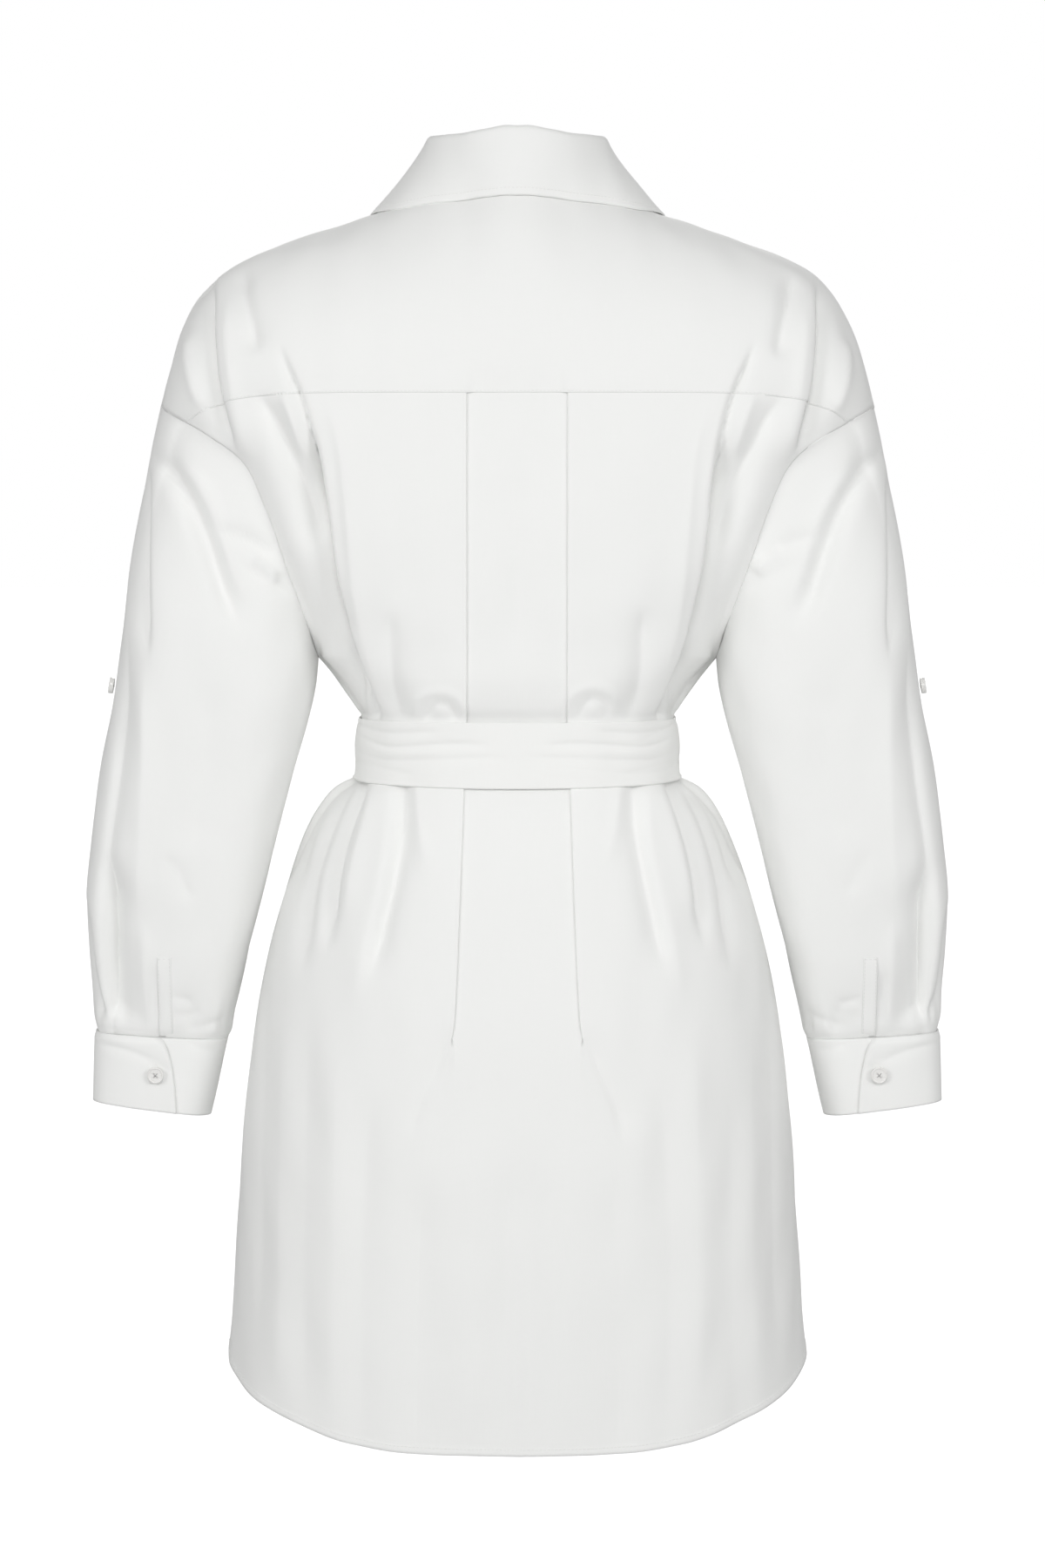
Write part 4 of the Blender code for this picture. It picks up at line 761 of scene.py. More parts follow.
def sleeve_share_at(x, z):
    """Share of the sleeve at which its back crosses this place."""
    def above(share):
        return ring_point(ring_at, turn_at_x(ring_at, share, x), share)[..., 2] > z

    return bisect(np.full(np.shape(x), SEAM_SHAPE_SHARE), np.ones(np.shape(x)), above)


# ------ materials

# Waves of the slubs in a metre, to the side and down, and what slubs and weave add to the shade
SLUBS_DOWN, SLUBS_ACROSS = (1400, 45), (60, 1500)
SHADE_START, SHADE_OF_SLUBS, SHADE_OF_WEAVE = 0.2, 0.3, 0.15


def feed(tree, node, inputs):
    """Sets each of these inputs of a node, or links it to the output that it is given."""
    for key, value in inputs.items():
        if isinstance(value, bpy.types.NodeSocket):
            tree.links.new(value, node.inputs[key])
        else:
            node.inputs[key].default_value = value


def add_node(tree, kind, inputs):
    made = tree.nodes.new(kind)
    feed(tree, made, inputs)
    return made.outputs


def reckon(tree, operation, *values):
    made = tree.nodes.new("ShaderNodeMath")
    made.operation = operation
    feed(tree, made, dict(enumerate(values)))
    return made.outputs[0]


def blend(tree, factor, dark, light):
    made = tree.nodes.new("ShaderNodeMix")
    made.data_type = "RGBA"
    feed(tree, made, {"A": dark, "B": light, "Factor": factor})
    return made.outputs["Result"]


def new_group(name, inputs, outputs):
    """Node group with these inputs and their first values, and its nodes that give and take them."""
    tree = bpy.data.node_groups.new(name, "ShaderNodeTree")
    for key, value in inputs.items():
        kind = "NodeSocketFloat" if isinstance(value, float) else "NodeSocketColor"
        tree.interface.new_socket(key, in_out="INPUT", socket_type=kind).default_value = value
    for key, kind in outputs.items():
        tree.interface.new_socket(key, in_out="OUTPUT", socket_type=kind)
    return tree, tree.nodes.new("NodeGroupInput").outputs, tree.nodes.new("NodeGroupOutput")


def woven_cotton_group():
    """Plain weave on the cloth's own coordinates: a slightly varied shade, a height in metres."""
    tree, given, result = new_group("woven_cotton", {
        "Thread Pitch": 0.00045, "Weave Height": 0.00001, "Slub Height": 0.00002,
        "Crumple Height": 0.0003,
    }, {"Shade": "NodeSocketFloat", "Height": "NodeSocketFloat"})
    place = tree.nodes.new("ShaderNodeTexCoord").outputs
    parts = add_node(tree, "ShaderNodeSeparateXYZ", {0: place["UV"]})

    def threads(axis):
        turns = reckon(tree, "DIVIDE", parts[axis], given["Thread Pitch"])
        return reckon(tree, "SINE", reckon(tree, "MULTIPLY", turns, math.pi))

    def slubs(along, across):
        stretch = add_node(tree, "ShaderNodeCombineXYZ", {
            0: reckon(tree, "MULTIPLY", parts["X"], along),
            1: reckon(tree, "MULTIPLY", parts["Y"], across),
        })
        noise = {"Scale": 1.0, "Detail": 1.0, "Vector": stretch[0]}
        return add_node(tree, "ShaderNodeTexNoise", noise)["Fac"]

    weave = reckon(tree, "MULTIPLY", threads("X"), threads("Y"))
    uneven_threads = reckon(tree, "ADD", slubs(*SLUBS_DOWN), slubs(*SLUBS_ACROSS))
    crumple = add_node(tree, "ShaderNodeTexNoise", {
        "Scale": 34.0, "Detail": 3.0, "Roughness": 0.45, "Vector": place["Object"],
    })["Fac"]
    height = reckon(tree, "MULTIPLY", weave, given["Weave Height"])
    for form, size in ((uneven_threads, "Slub Height"), (crumple, "Crumple Height")):
        height = reckon(tree, "ADD", height, reckon(tree, "MULTIPLY", form, given[size]))
    shade = reckon(tree, "MULTIPLY", uneven_threads, SHADE_OF_SLUBS)
    shade = reckon(tree, "ADD", shade, SHADE_START)
    shade = reckon(tree, "ADD", shade, reckon(tree, "MULTIPLY", weave, SHADE_OF_WEAVE))
    feed(tree, result, {"Shade": shade, "Height": height})
    return tree


def cloudy_grain_group():
    """Two colours that pass into each other by a noise on the piece itself."""
    tree, given, result = new_group("cloudy_grain", {
        "Scale": 1.0, "Detail": 2.0, "Distortion": 0.0, "Dark": (0, 0, 0, 1), "Light": (1, 1, 1, 1),
    }, {"Color": "NodeSocketColor"})
    place = tree.nodes.new("ShaderNodeTexCoord").outputs["Object"]
    noise = {key: given[key] for key in ("Scale", "Detail", "Distortion")}
    grain = add_node(tree, "ShaderNodeTexNoise", {"Vector": place, **noise})["Fac"]
    feed(tree, result, {"Color": blend(tree, grain, given["Dark"], given["Light"])})
    return tree


WOVEN, CLOUDY = woven_cotton_group(), cloudy_grain_group()


def new_material(name, effect, effect_inputs, settings):
    """Material with its tree, its shader and the outputs of a node group in it."""
    made = bpy.data.materials.new(name)
    made.use_nodes = True
    tree = made.node_tree
    shader = tree.nodes["Principled BSDF"]
    feed(tree, shader, settings)
    group = tree.nodes.new("ShaderNodeGroup")
    group.node_tree = effect
    feed(tree, group, effect_inputs)
    return made, tree, shader, group.outputs


def cotton(name, light, dark, crumple):
    """White woven cotton: two near whites mixed thread by thread, and the weave's fine relief."""
    made, tree, shader, weave = new_material(name, WOVEN, {"Crumple Height": crumple}, {
        "Roughness": 0.85, "Specular IOR Level": 0.25, "Sheen Weight": 0.12, "Sheen Roughness": 0.5,
    })
    bump = add_node(tree, "ShaderNodeBump", {"Distance": 1.0, "Height": weave["Height"]})
    colour = blend(tree, weave["Shade"], (*dark, 1), (*light, 1))
    feed(tree, shader, {"Base Color": colour, "Normal": bump["Normal"]})
    return made


def cloudy(name, grain, settings):
    """Material with a faint cloudy grain."""
    made, tree, shader, clouds = new_material(name, CLOUDY, grain, settings)
    feed(tree, shader, {"Base Color": clouds["Color"]})
    return made


COTTON = cotton("white_poplin", (0.91, 0.912, 0.9), (0.87, 0.875, 0.86), 0.00035)
BELT_COTTON = cotton("sash_poplin", (0.915, 0.917, 0.902), (0.875, 0.879, 0.861), 0.0006)
THREAD = cloudy(
    "cotton_thread", {"Scale": 900.0, "Dark": (0.76, 0.76, 0.75, 1), "Light": (0.88, 0.88, 0.87, 1)},
    {"Roughness": 0.6},
)
# Glossy pressed resin
RESIN = cloudy("button_resin", {
    "Scale": 260.0, "Detail": 4.0, "Distortion": 1.2,
    "Dark": (0.8, 0.79, 0.765, 1), "Light": (0.89, 0.885, 0.87, 1),
}, {"Roughness": 0.32, "Coat Weight": 0.3, "Coat Roughness": 0.1})

# ------ cloth meshes


class Cloth:
    """A piece of cloth with the grid it was made on, the outward directions there and its wall."""

    def __init__(self, grid, wall, flip):
        across, down = np.gradient(grid, axis=1), np.gradient(grid, axis=0)
        out = np.cross(across, down) * (-1 if flip else 1)
        self.out = out / np.maximum(np.linalg.norm(out, axis=-1), 1e-9)[..., None]
        self.grid, self.wall = grid, wall


def placed(name, mesh, slot, *nodes):
    """The mesh as a piece of the dress, in place of these nodes."""
    piece = bpy.data.objects.new(name, mesh)
    bpy.context.scene.collection.objects.link(piece)
    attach(piece, "root")
    if nodes:
        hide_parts(*nodes)
    return piece


def lengths_along(grid, axis):
    """Length of the cloth along each line of the grid, up to every point."""
    steps = np.linalg.norm(np.diff(grid, axis=axis), axis=-1)
    zero = np.zeros_like(np.take(steps, [0], axis=axis))
    return np.cumsum(np.concatenate((zero, steps), axis=axis), axis=axis)


def cell_corners(table, flip=False):
    """What the four corners of each cell of a grid hold, in turn."""
    corners = (table[:-1, :-1], table[:-1, 1:], table[1:, 1:], table[1:, :-1])
    return np.stack(corners[::-1] if flip else corners, 2)


def grid_mesh(name, spots, ring, flip=False):
    """Mesh on a grid of points, closed round its rows or open."""
    number = np.arange(spots.shape[0] * spots.shape[1]).reshape(spots.shape[:2])
    if ring:
        number = np.concatenate((number, number[:, :1]), axis=1)
    mesh = bpy.data.meshes.new(name)
    faces = cell_corners(number, flip).reshape(-1, 4).tolist()
    mesh.from_pydata((spots * MM).reshape(-1, 3).tolist(), [], faces)
    return mesh


def cloth(name, node, grid, wall, look=COTTON, slot="white_cotton", ring=False, flip=False):
    """Thin shell of cloth on a grid of points in rows, in place of its solid."""
    mesh = grid_mesh(name, grid, ring, flip)
    if ring:
        grid = np.concatenate((grid, grid[:, :1]), axis=1)
    across, down = lengths_along(grid, 1), lengths_along(grid, 0)
    marks = np.stack(np.broadcast_arrays(across.mean(0), down.mean(1)[:, None]), -1) * MM
    mesh.shade_smooth()
    mesh.uv_layers.new(name="cloth").data.foreach_set("uv", cell_corners(marks, flip).ravel())
    mesh.materials.append(look)
    piece = placed(name, mesh, slot, node)
    shell = piece.modifiers.new("wall", "SOLIDIFY")
    shell.thickness, shell.offset, shell.use_even_offset = wall * MM, 0, False
    cells = np.cross(grid[:-1, 1:] - grid[:-1, :-1], grid[1:, :-1] - grid[:-1, :-1])
    cells = np.linalg.norm(cells, axis=-1).sum() * MM ** 2
    return Cloth(grid, wall, flip)


def inset(made, edge, distance):
    """Points and outward directions of a line on a cloth piece, this far from one of its edges."""
    both = np.concatenate((made.grid, made.out), axis=-1)
    both = both if edge in ("top", "foot") else both.swapaxes(0, 1)
    both = both if edge in ("top", "start") else both[::-1]
    far = lengths_along(both[..., :3], 0)
    line = np.array([
        [np.interp(distance, reached, column) for column in strip.T]
        for reached, strip in zip(far.T, both.swapaxes(0, 1))
    ])
    return line[:, :3], line[:, 3:] / np.linalg.norm(line[:, 3:], axis=-1)[:, None]


# A stitch: rings of four points along it, closed to a point at each end. Its points are shares of its
# length, its width and its rise.
STITCH_LENGTH, STITCH_PITCH, STITCH_WIDTH, STITCH_RISE = 2.0, 2.75, 0.42, 0.2
STITCH_POINTS = np.array([
    (-0.5, 0, 0),
    *((step, *spot) for step in (-0.32, 0.32) for spot in ((-0.5, 0), (0, 1), (0.5, 0), (0, -1))),
    (0.5, 0, 0),
])
STITCH_FACES = [face for i, j in ((0, 1), (1, 2), (2, 3), (3, 0)) for face in (
    (0, 1 + i, 1 + j), (1 + i, 5 + i, 5 + j, 1 + j), (9, 5 + j, 5 + i),
)]


def sew(name, made, *lines, wall=None):
    """Rows of stitches on one or more pieces of cloth, each at a distance from one of its edges."""
    verts = []
    for part in made if isinstance(made, tuple) else (made,):
        for edge, distance in lines:
            line, out = inset(part, edge, distance)
            route = Route(line)
            count = int(route.length[-1] / STITCH_PITCH)
            shares = (np.arange(count) + 0.5) / count
            along = shares * route.length[-1]
            normal = np.stack([np.interp(along, route.length, column) for column in out.T], -1)
            half = 0.5 / count
            ahead = route.at(np.minimum(shares + half, 1)) - route.at(np.maximum(shares - half, 0))
            ahead /= np.linalg.norm(ahead, axis=-1)[:, None]
            centre = route.at(shares) + normal * ((wall or part.wall) / 2)
            over = np.cross(ahead, normal)
            step, across, up = STITCH_POINTS.T[..., None]
            verts.append(
                centre[:, None] + ahead[:, None] * STITCH_LENGTH * step
                + over[:, None] * STITCH_WIDTH * across + normal[:, None] * STITCH_RISE * up
            )
    verts = np.concatenate(verts).reshape(-1, 3)
    starts = range(0, len(verts), len(STITCH_POINTS))
    faces = [[start + k for k in face] for start in starts for face in STITCH_FACES]
    mesh = bpy.data.meshes.new(name)
    mesh.from_pydata((verts * MM).tolist(), [], faces)
    mesh.materials.append(THREAD)
    placed(name, mesh, "white_cotton")


# ------ body panels

BODY_ROWS = np.concatenate((
    np.linspace(BODY_TOP_SHARE, 1, CHEST_ROWS)[:-1], np.linspace(1, 2, WAIST_ROWS)[:-1],
    2 + np.linspace(0, 1, SKIRT_ROWS)[:-1] ** SKIRT_ROWS_BIAS, HEM_ROWS,
))


def hem_step(v):
    """The turned-up hem stands out a little from the cloth above it."""
    return HEM_STEP * smooth((v - HEM_TURN_V + HEM_TURN_SPAN / 2) / HEM_TURN_SPAN)


def hung(face, spread):
    """Folded grid of the body from the yoke seam down; spread gives a row's lengths and lifts."""
    rows = [body_row(face, v) for v in BODY_ROWS]
    spreads = [spread(row, v) for row, v in zip(rows, BODY_ROWS)]
    points, out = stacked(row.place(*made) for row, made in zip(rows, spreads))
    room = np.array([row.length - np.abs(along) for row, (along, _) in zip(rows, spreads)])
    folded = body_relief(face, points) * smooth(room / FOLD_SEAM_FADE)
    return rippled(points + out * folded[..., None], out)


def pleat_path(row):
    """Half the pleated back from the centre line out: the centre panel, the cloth turned under the
    side panel and back to its folded edge, and the side panel. Lower down they open into a step."""
    edge, under, step = pleat_at(row.centre_z)
    layer = PLEAT_LAYER * step
    bulge = layer / 2 * smooth((under - PLEAT_BULGE_FROM) / PLEAT_BULGE_SPAN)
    spread = min(max(-under, 0) * PLEAT_SPREAD, PLEAT_SPREAD_MOST)
    slant = layer * lerp(PLEAT_SLANT, 0, smooth((under - PLEAT_SLANT_FROM) / PLEAT_SLANT_SPAN))
    turn = np.radians(np.linspace(-90, 90, TURN_COLUMNS))
    inner_turn = edge + under + bulge * np.cos(turn) + spread * np.sin(turn)
    outer_turn = edge - bulge * np.cos(turn) + spread * np.sin(turn)
    rise = (1 + np.sin(turn)) / 2
    side = np.linspace(outer_turn[-1], row.length - SEAM_TRIM, SIDE_COLUMNS)[1:]
    along = np.concatenate((
        np.linspace(0, inner_turn[0], CENTRE_COLUMNS)[:-1], inner_turn,
        np.linspace(inner_turn[-1], outer_turn[0], LAID_COLUMNS)[1:-1], outer_turn, side,
    ))
    last = edge + max(under, PLEAT_LEAST_UNDER) + PLEAT_MARGIN
    lift = np.concatenate((
        np.full(CENTRE_COLUMNS - 1, -layer), lerp(-layer, -slant, rise),
        np.linspace(-slant, slant, LAID_COLUMNS)[1:-1], lerp(slant, layer, rise),
        layer * (1 - smooth((side - last) / PLEAT_FADE)),
    ))
    return along, lift


def make_back():
    def spread(row, v):
        along, lift = pleat_path(row)
        return both_sides(along, -1), both_sides(lift) + hem_step(v)

    return cloth("back_panel", "back", hung(BACK, spread), SINGLE)


def yoke_columns():
    """Foot and top of each yoke column from the centre back out, as places on the shoulder arches."""
    seam = shoulders.rows[BACK]
    # the yoke seam's outer part begins past the end of the neckline's columns
    outer = float(np.interp(lerp(PLEATED, seam.length, YOKE_OUTER_FROM), seam.lengths, seam.x))
    s, t = np.linspace(0, 1, YOKE_NECK_COLUMNS)[:-1], np.linspace(0, 1, YOKE_SIDE_COLUMNS)
    bearing = CORNER_BEARING * s
    x = neck_x(bearing)
    foot = np.concatenate((outer * s, lerp(outer, YOKE_END - SEAM_TRIM, t)))
    top = np.concatenate((x, lerp(CORNER_X, YOKE_END, t)))
    angle = np.concatenate((neck_angle(x, neck_face(bearing)), np.full(len(t), FRONT_SEAM_ANGLE)))
    return both_sides(foot, -1), both_sides(top, -1), both_sides(angle)


def pleat_top_lift(along):
    """How far the yoke's lower edge stands out over the pleated panel under it."""
    along = np.abs(along)
    up = lerp(-PLEAT_LAYER, PLEAT_LAYER, smooth((along - PLEAT_STEP_FROM) / PLEAT_STEP_SPAN))
    down = PLEAT_LAYER * (1 - smooth((along - PLEATED) / PLEAT_FADE))
    return np.where(along < PLEATED, up, down)


def make_yoke():
    foot, top, angle = yoke_columns()
    seam = shoulders.rows[BACK]
    along = np.sign(foot) * seam.along(np.abs(foot))
    over = pleat_top_lift(along)
    rows = []
    for v in YOKE_LAP_ROWS:
        row = body_row(BACK, v)
        points, out = row.place(along * row.length / seam.length * YOKE_LAP_TRIM, over + YOKE_LAP)
        rows.append((points + out * body_relief(BACK, points)[:, None], out))
    level = YOKE_LIFT * smooth((YOKE_END - np.abs(foot)) / FOLD_SEAM_FADE)
    for share in np.linspace(0, 1, YOKE_ROWS):
        lift = lerp(over + YOKE_LAP, level, smooth(share / YOKE_RISE))
        rows.append(shoulders.place(lerp(foot, top, share), angle * share, lift))
    return cloth("yoke_panel", "back_yoke", rippled(*stacked(rows)), SINGLE, flip=True)


def above_seam(seam_x, top, lift):
    """Grid of a front from its upper edge down to the height of the yoke seam behind."""
    shares = np.arange(FRONT_UPPER_ROWS) / FRONT_UPPER_ROWS
    return rippled(*stacked(shoulders.place(seam_x, lerp(top, 180, share), lift) for share in shares))


def front_grid(start, side, lift_at):
    """Grid of a front from its centre edge to the side, from the neckline or yoke seam to the hem."""
    t = np.linspace(0, 1, FRONT_SIDE_COLUMNS)
    seam_x = np.concatenate((
        np.linspace(start, CORNER_X, FRONT_NECK_COLUMNS)[:-1], lerp(CORNER_X, YOKE_END, t),
    ))
    along = np.sign(seam_x) * shoulders.rows[FRONT].along(np.abs(seam_x))
    top = np.where(np.abs(seam_x) < CORNER_X, neck_angle(seam_x, FRONT), FRONT_SEAM_ANGLE)
    share = (along - along[0]) / (along[-1] - along[0])

    def spread(row, v):
        place = lerp(along[0], row.length - SEAM_TRIM, share)
        return side * place, lift_at(place) + hem_step(v)

    return np.concatenate((above_seam(side * seam_x, top, lift_at(along)), hung(FRONT, spread)))


def right_lift(along):
    return RIGHT_EDGE_LIFT * (1 - smooth((along - LAP_HALF_WIDTH) / LAP_FADE))


def make_front(side, start, lift_at):
    word = SIDE_WORDS[side]
    return cloth(
        f"front_panel_{word}", f"front_{word}", front_grid(start, side, lift_at), SINGLE,
        flip=side == RIGHT,
    )


def make_band():
    across = np.linspace(-LAP_HALF_WIDTH, LAP_HALF_WIDTH, BAND_COLUMNS)
    upper = above_seam(across, neck_angle(across, FRONT), BAND_LIFT)
    grid = np.concatenate((upper, hung(FRONT, lambda row, v: (across, BAND_LIFT))))
    return cloth("front_band", "placket_right", grid, DOUBLED)


# ------ sleeves and cuffs


def tucked_in(share):
    """How far the sleeve's end goes in under the cuff."""
    return SLEEVE_TUCK * smooth((share - TUCK_FROM) / TUCK_SPAN)


def make_sleeve(side):
    turn = np.linspace(0, 360, SLEEVE_COLUMNS)[:-1][None, :]
    share = np.concatenate((
        np.linspace(SLEEVE_TOP_SHARE, SLEEVE_TOP, SLEEVE_TOP_ROWS)[:-1],
        np.linspace(SLEEVE_TOP, 1, SLEEVE_ROWS),
    ))[:, None]
    points, out = sleeve_place(turn, share, -tucked_in(share), side)
    last = points[-1:] - out[-1:] * SLEEVE_END_IN + np.array((0, 0, -SLEEVE_END_DOWN))
    run = points[:1] - points[1:2]
    run = run / np.linalg.norm(run, axis=-1)[..., None]
    first = points[:1] + run * SLEEVE_LAP - out[:1] * SLEEVE_LAP_DROP
    grid, word = np.concatenate((first, rippled(points, out), last)), SIDE_WORDS[side]
    return cloth(
        f"sleeve_cloth_{word}", f"sleeve_{word}", mirrored(grid, side), SINGLE, ring=True,
        flip=side == RIGHT,
    )


def make_slit_band(side):
    half = SLIT_BAND_WIDTH / 2
    z, x = np.meshgrid(
        np.linspace(SLIT_TOP_Z, SLIT_FOOT_Z, SLIT_BAND_ROWS),
        np.linspace(SLIT_X - half, SLIT_X + half, SLIT_BAND_COLUMNS), indexing="ij",
    )
    share = sleeve_share_at(x, z)
    down = smooth((SLIT_TOP_Z - z) / (SLIT_TOP_Z - SLIT_FOOT_Z) / BAND_SINK_END)
    clear = (x - SLIT_X + half) / SLIT_BAND_WIDTH * down
    lift = lerp(BAND_SUNK, BAND_OVER_SLEEVE, clear) - BAND_TUCK * tucked_in(share)
    grid = rippled(*sleeve_place(turn_at_x(ring_at, share, x), share, lift, side))
    word = SIDE_WORDS[side]
    return cloth(
        f"sleeve_slit_band_{word}", f"sleeve_placket_{word}", mirrored(grid, side), SINGLE,
        flip=side == RIGHT,
    )


def make_cuff(side):
    """Cuff whose outer end lies over its inner end and comes down to it round the arm."""
    lap_top, lap_foot = (turn_at_x(cuff_ring_at, share, x) for share, x in CUFF_LAP)
    around = np.linspace(0, 360 + math.degrees(CUFF_UNDERLAP / CUFF_RADIUS), CUFF_COLUMNS)[None, :]
    share = np.linspace(0, 1, CUFF_ROWS)[:, None]
    turn = lerp(lap_top, lap_foot, share) - around
    points, out = cuff_base(turn, share), outward(cuff_base, turn, share)
    folded = np.where(turn % 360 <= 180, relief(CUFF_FOLDS, points), 0)
    over = CUFF_LAYER * (1 - smooth((around - CUFF_LAP_SPAN) / CUFF_LAP_FADE))
    lift = lerp(CUFF_RIM_LIFT, over, smooth(share / CUFF_EDGE_SHARE))
    grid, word = rippled(points + out * (lift + folded)[..., None], out), SIDE_WORDS[side]
    return cloth(
        f"cuff_cloth_{word}", f"cuff_{word}", mirrored(grid, side), DOUBLED,
        flip=side == LEFT,
    )


# ------ collar


def away_from_neck(bearing):
    turn = np.radians(bearing)
    return points_of(np.sin(turn), np.cos(turn), 0)


def stand_point(bearing, share, lift=0.0):
    """Point of the collar stand: share 0 at its foot on the neckline, 1 at its top edge."""
    from_back = np.where(np.abs(bearing) <= 180, np.abs(bearing), 360 - np.abs(bearing))
    height, lean = stand_at(from_back)
    out = away_from_neck(bearing)
    up = points_of(0, 0, lerp(STAND_FOOT, height, share))
    return neckline(bearing) + up + out * (lean * share + lift)[..., None], out


def make_stand():
    end = 180 + STAND_OVERLAP
    bearing = np.linspace(-end, end, STAND_COLUMNS)
    over = smooth((-bearing - STAND_LAP_FROM) / STAND_LAP_FADE) * STAND_LAP
    rows = stacked(stand_point(bearing, share, over) for share in np.linspace(0, 1, STAND_ROWS))
    return cloth("neck_stand", "collar_stand", rippled(*rows), COLLAR_WALL, flip=True)


def make_collar():
    share = np.linspace(-1, 1, COLLAR_COLUMNS)
    bearing = FALL_END_BEARING * share
    crest, out = stand_point(bearing, 1.0)
    x, y, lift = fall_edge_at(np.abs(share))
    edge, _ = shoulders.place(x, shoulders.angle_at(x, y), lift)
    edge = mirrored(edge, side_of(share))
    outermost = lerp(FALL_BULGE, FALL_SIDE_BULGE, np.sin(np.radians(bearing)) ** 2)[:, None]
    rows = []
    for row in np.concatenate((
        np.linspace(0, ROLL_END, ROLL_ROWS)[:-1], np.linspace(ROLL_END, FALL_END, FALL_ROWS),
    )):
        way_out, way_up = roll_at(min(row, ROLL_END))
        roll = crest + out * way_out + np.array((0, 0, way_up))
        t = max(row - ROLL_END, 0) / (FALL_END - ROLL_END)
        bulge = math.sin(math.pi * t) * outermost
        rise = np.array((0, 0, FALL_BULGE_RISE)) * np.abs(bulge)
        rows.append((lerp(roll, edge, t) + out * bulge + rise, out))
    return cloth("turned_collar", "collar", rippled(*stacked(rows)), COLLAR_WALL)


# ------ sash


def belt_row(face, share):
    edge = side_edge(lerp(BELT_TOP_SIDE_Z, BELT_BOTTOM_SIDE_Z, share))
    return Row(face, lerp(BELT_TOP_Z, BELT_BOTTOM_Z, share), edge, sag)


def sash_wrinkles(share, columns):
    """Wavy troughs that run round the sash, here stronger and there weaker."""
    chance = np.random.default_rng(SASH_SEED)
    round_it = np.linspace(0, 2 * math.pi, columns + 1)[:-1][None, :]
    rise = np.zeros((len(share), columns))
    for _ in range(SASH_WRINKLES):
        centre, drift = chance.uniform(*WRINKLE_CENTRES), chance.uniform(*WRINKLE_DRIFTS)
        phase, waves = chance.uniform(0, WRINKLE_PHASE), int(chance.integers(*WRINKLE_WAVES))
        line = centre + drift * np.sin(waves * round_it + phase)
        bouts, shift = int(chance.integers(*WRINKLE_BOUTS)), chance.uniform(0, WRINKLE_PHASE)
        strength = smooth(0.5 + 0.5 * np.sin(bouts * round_it + shift))
        depth, width = chance.uniform(*WRINKLE_DEPTHS), chance.uniform(*WRINKLE_WIDTHS)
        rise -= depth * strength * np.exp(-((share - line) / width) ** 2)
    return rise


def make_sash():
    outward_way = np.linspace(0, 1, SASH_QUARTER)[:-1]
    inward_way = 1 - outward_way
    shares, rows = np.linspace(0, 1, SASH_ROWS), []
    for share in shares:
        back, front = belt_row(BACK, share), belt_row(FRONT, share)
        swell = SASH_SWELL * math.sin(math.pi * share) - SASH_LEAN * (1 - share) ** SASH_LEAN_EDGE
        quarters = (
            row.place(side * row.length * t, SASH_LIFT + swell * t ** SASH_EDGE)
            for row, side, t in ((back, LEFT, outward_way), (front, LEFT, inward_way),
                                 (front, RIGHT, outward_way), (back, RIGHT, inward_way))
        )
        rows.append([np.concatenate(part) for part in zip(*quarters)])
    points, out = stacked(rows)
    back, front = (relief(SASH_FOLDS[face], points) for face in (BACK, FRONT))
    rise = sash_wrinkles(shares[:, None], points.shape[1]) + np.where(points[..., 1] > 0, back, front)
    grid = rippled(points + out * rise[..., None], out)
    return cloth("sash", "belt", grid, DOUBLED, BELT_COTTON, "belt_cotton", ring=True, flip=True)


def make_knot():
    """Knot of the sash: the wrapped loop, drawn into slanting folds."""
    size = np.array(KNOT_SIZE) / 2
    foot_z = KNOT_Z - size[2] + KNOT_ROUNDING
    row = belt_row(FRONT, (BELT_TOP_Z - foot_z) / (BELT_TOP_Z - BELT_BOTTOM_Z))
    face_y = row.place(0.0, BELT_LIFT + BELT_WALL / 2 + KNOT_CLEAR)[0][1]
    high, round_it = np.meshgrid(
        np.radians(np.linspace(-90, 90, KNOT_ROWS)),
        np.radians(np.linspace(0, 360, KNOT_COLUMNS)[:-1]), indexing="ij",
    )
    reach = signed_power(np.cos(high), KNOT_POLES)
    x = size[0] * reach * signed_power(np.cos(round_it), KNOT_SQUARE[0])
    y = size[1] * reach * signed_power(np.sin(round_it), KNOT_SQUARE[1])
    z = size[2] * signed_power(np.sin(high), KNOT_SQUARE[2])
    slant = KNOT_SLANT[1] * z + KNOT_SLANT[0] * x + KNOT_CURL * x ** 2
    pinch = 1 - KNOT_PINCH * np.exp(-((z + size[2]) / KNOT_PINCH_SPAN) ** 2)
    groove = np.zeros(slant.shape)
    for place, depth, above, below in KNOT_GROOVES:
        off = slant - place
        groove += depth * np.exp(-np.abs(off / np.where(off > 0, above, below)) ** KNOT_GROOVE_EDGE)
    points = points_of(x * (pinch - KNOT_GROOVE_X * groove), y * (pinch - KNOT_GROOVE_Y * groove), z)
    points = points + np.array((0, face_y + KNOT_SEATED - size[1], KNOT_Z))
    mesh = grid_mesh("sash_knot", points, ring=True)
    form = bmesh.new()
    form.from_mesh(mesh)
    bmesh.ops.remove_doubles(form, verts=form.verts, dist=POLE_MERGE)
    bmesh.ops.recalc_face_normals(form, faces=form.faces)
    form.to_mesh(mesh)
    form.free()
    mesh.shade_smooth()
    spots = np.array([mesh.vertices[loop.vertex_index].co for loop in mesh.loops])
    mesh.uv_layers.new(name="cloth").data.foreach_set("uv", spots[:, [0, 2]].ravel())
    mesh.materials.append(BELT_COTTON)
    placed("sash_knot", mesh, "belt_cotton", "belt_knot")


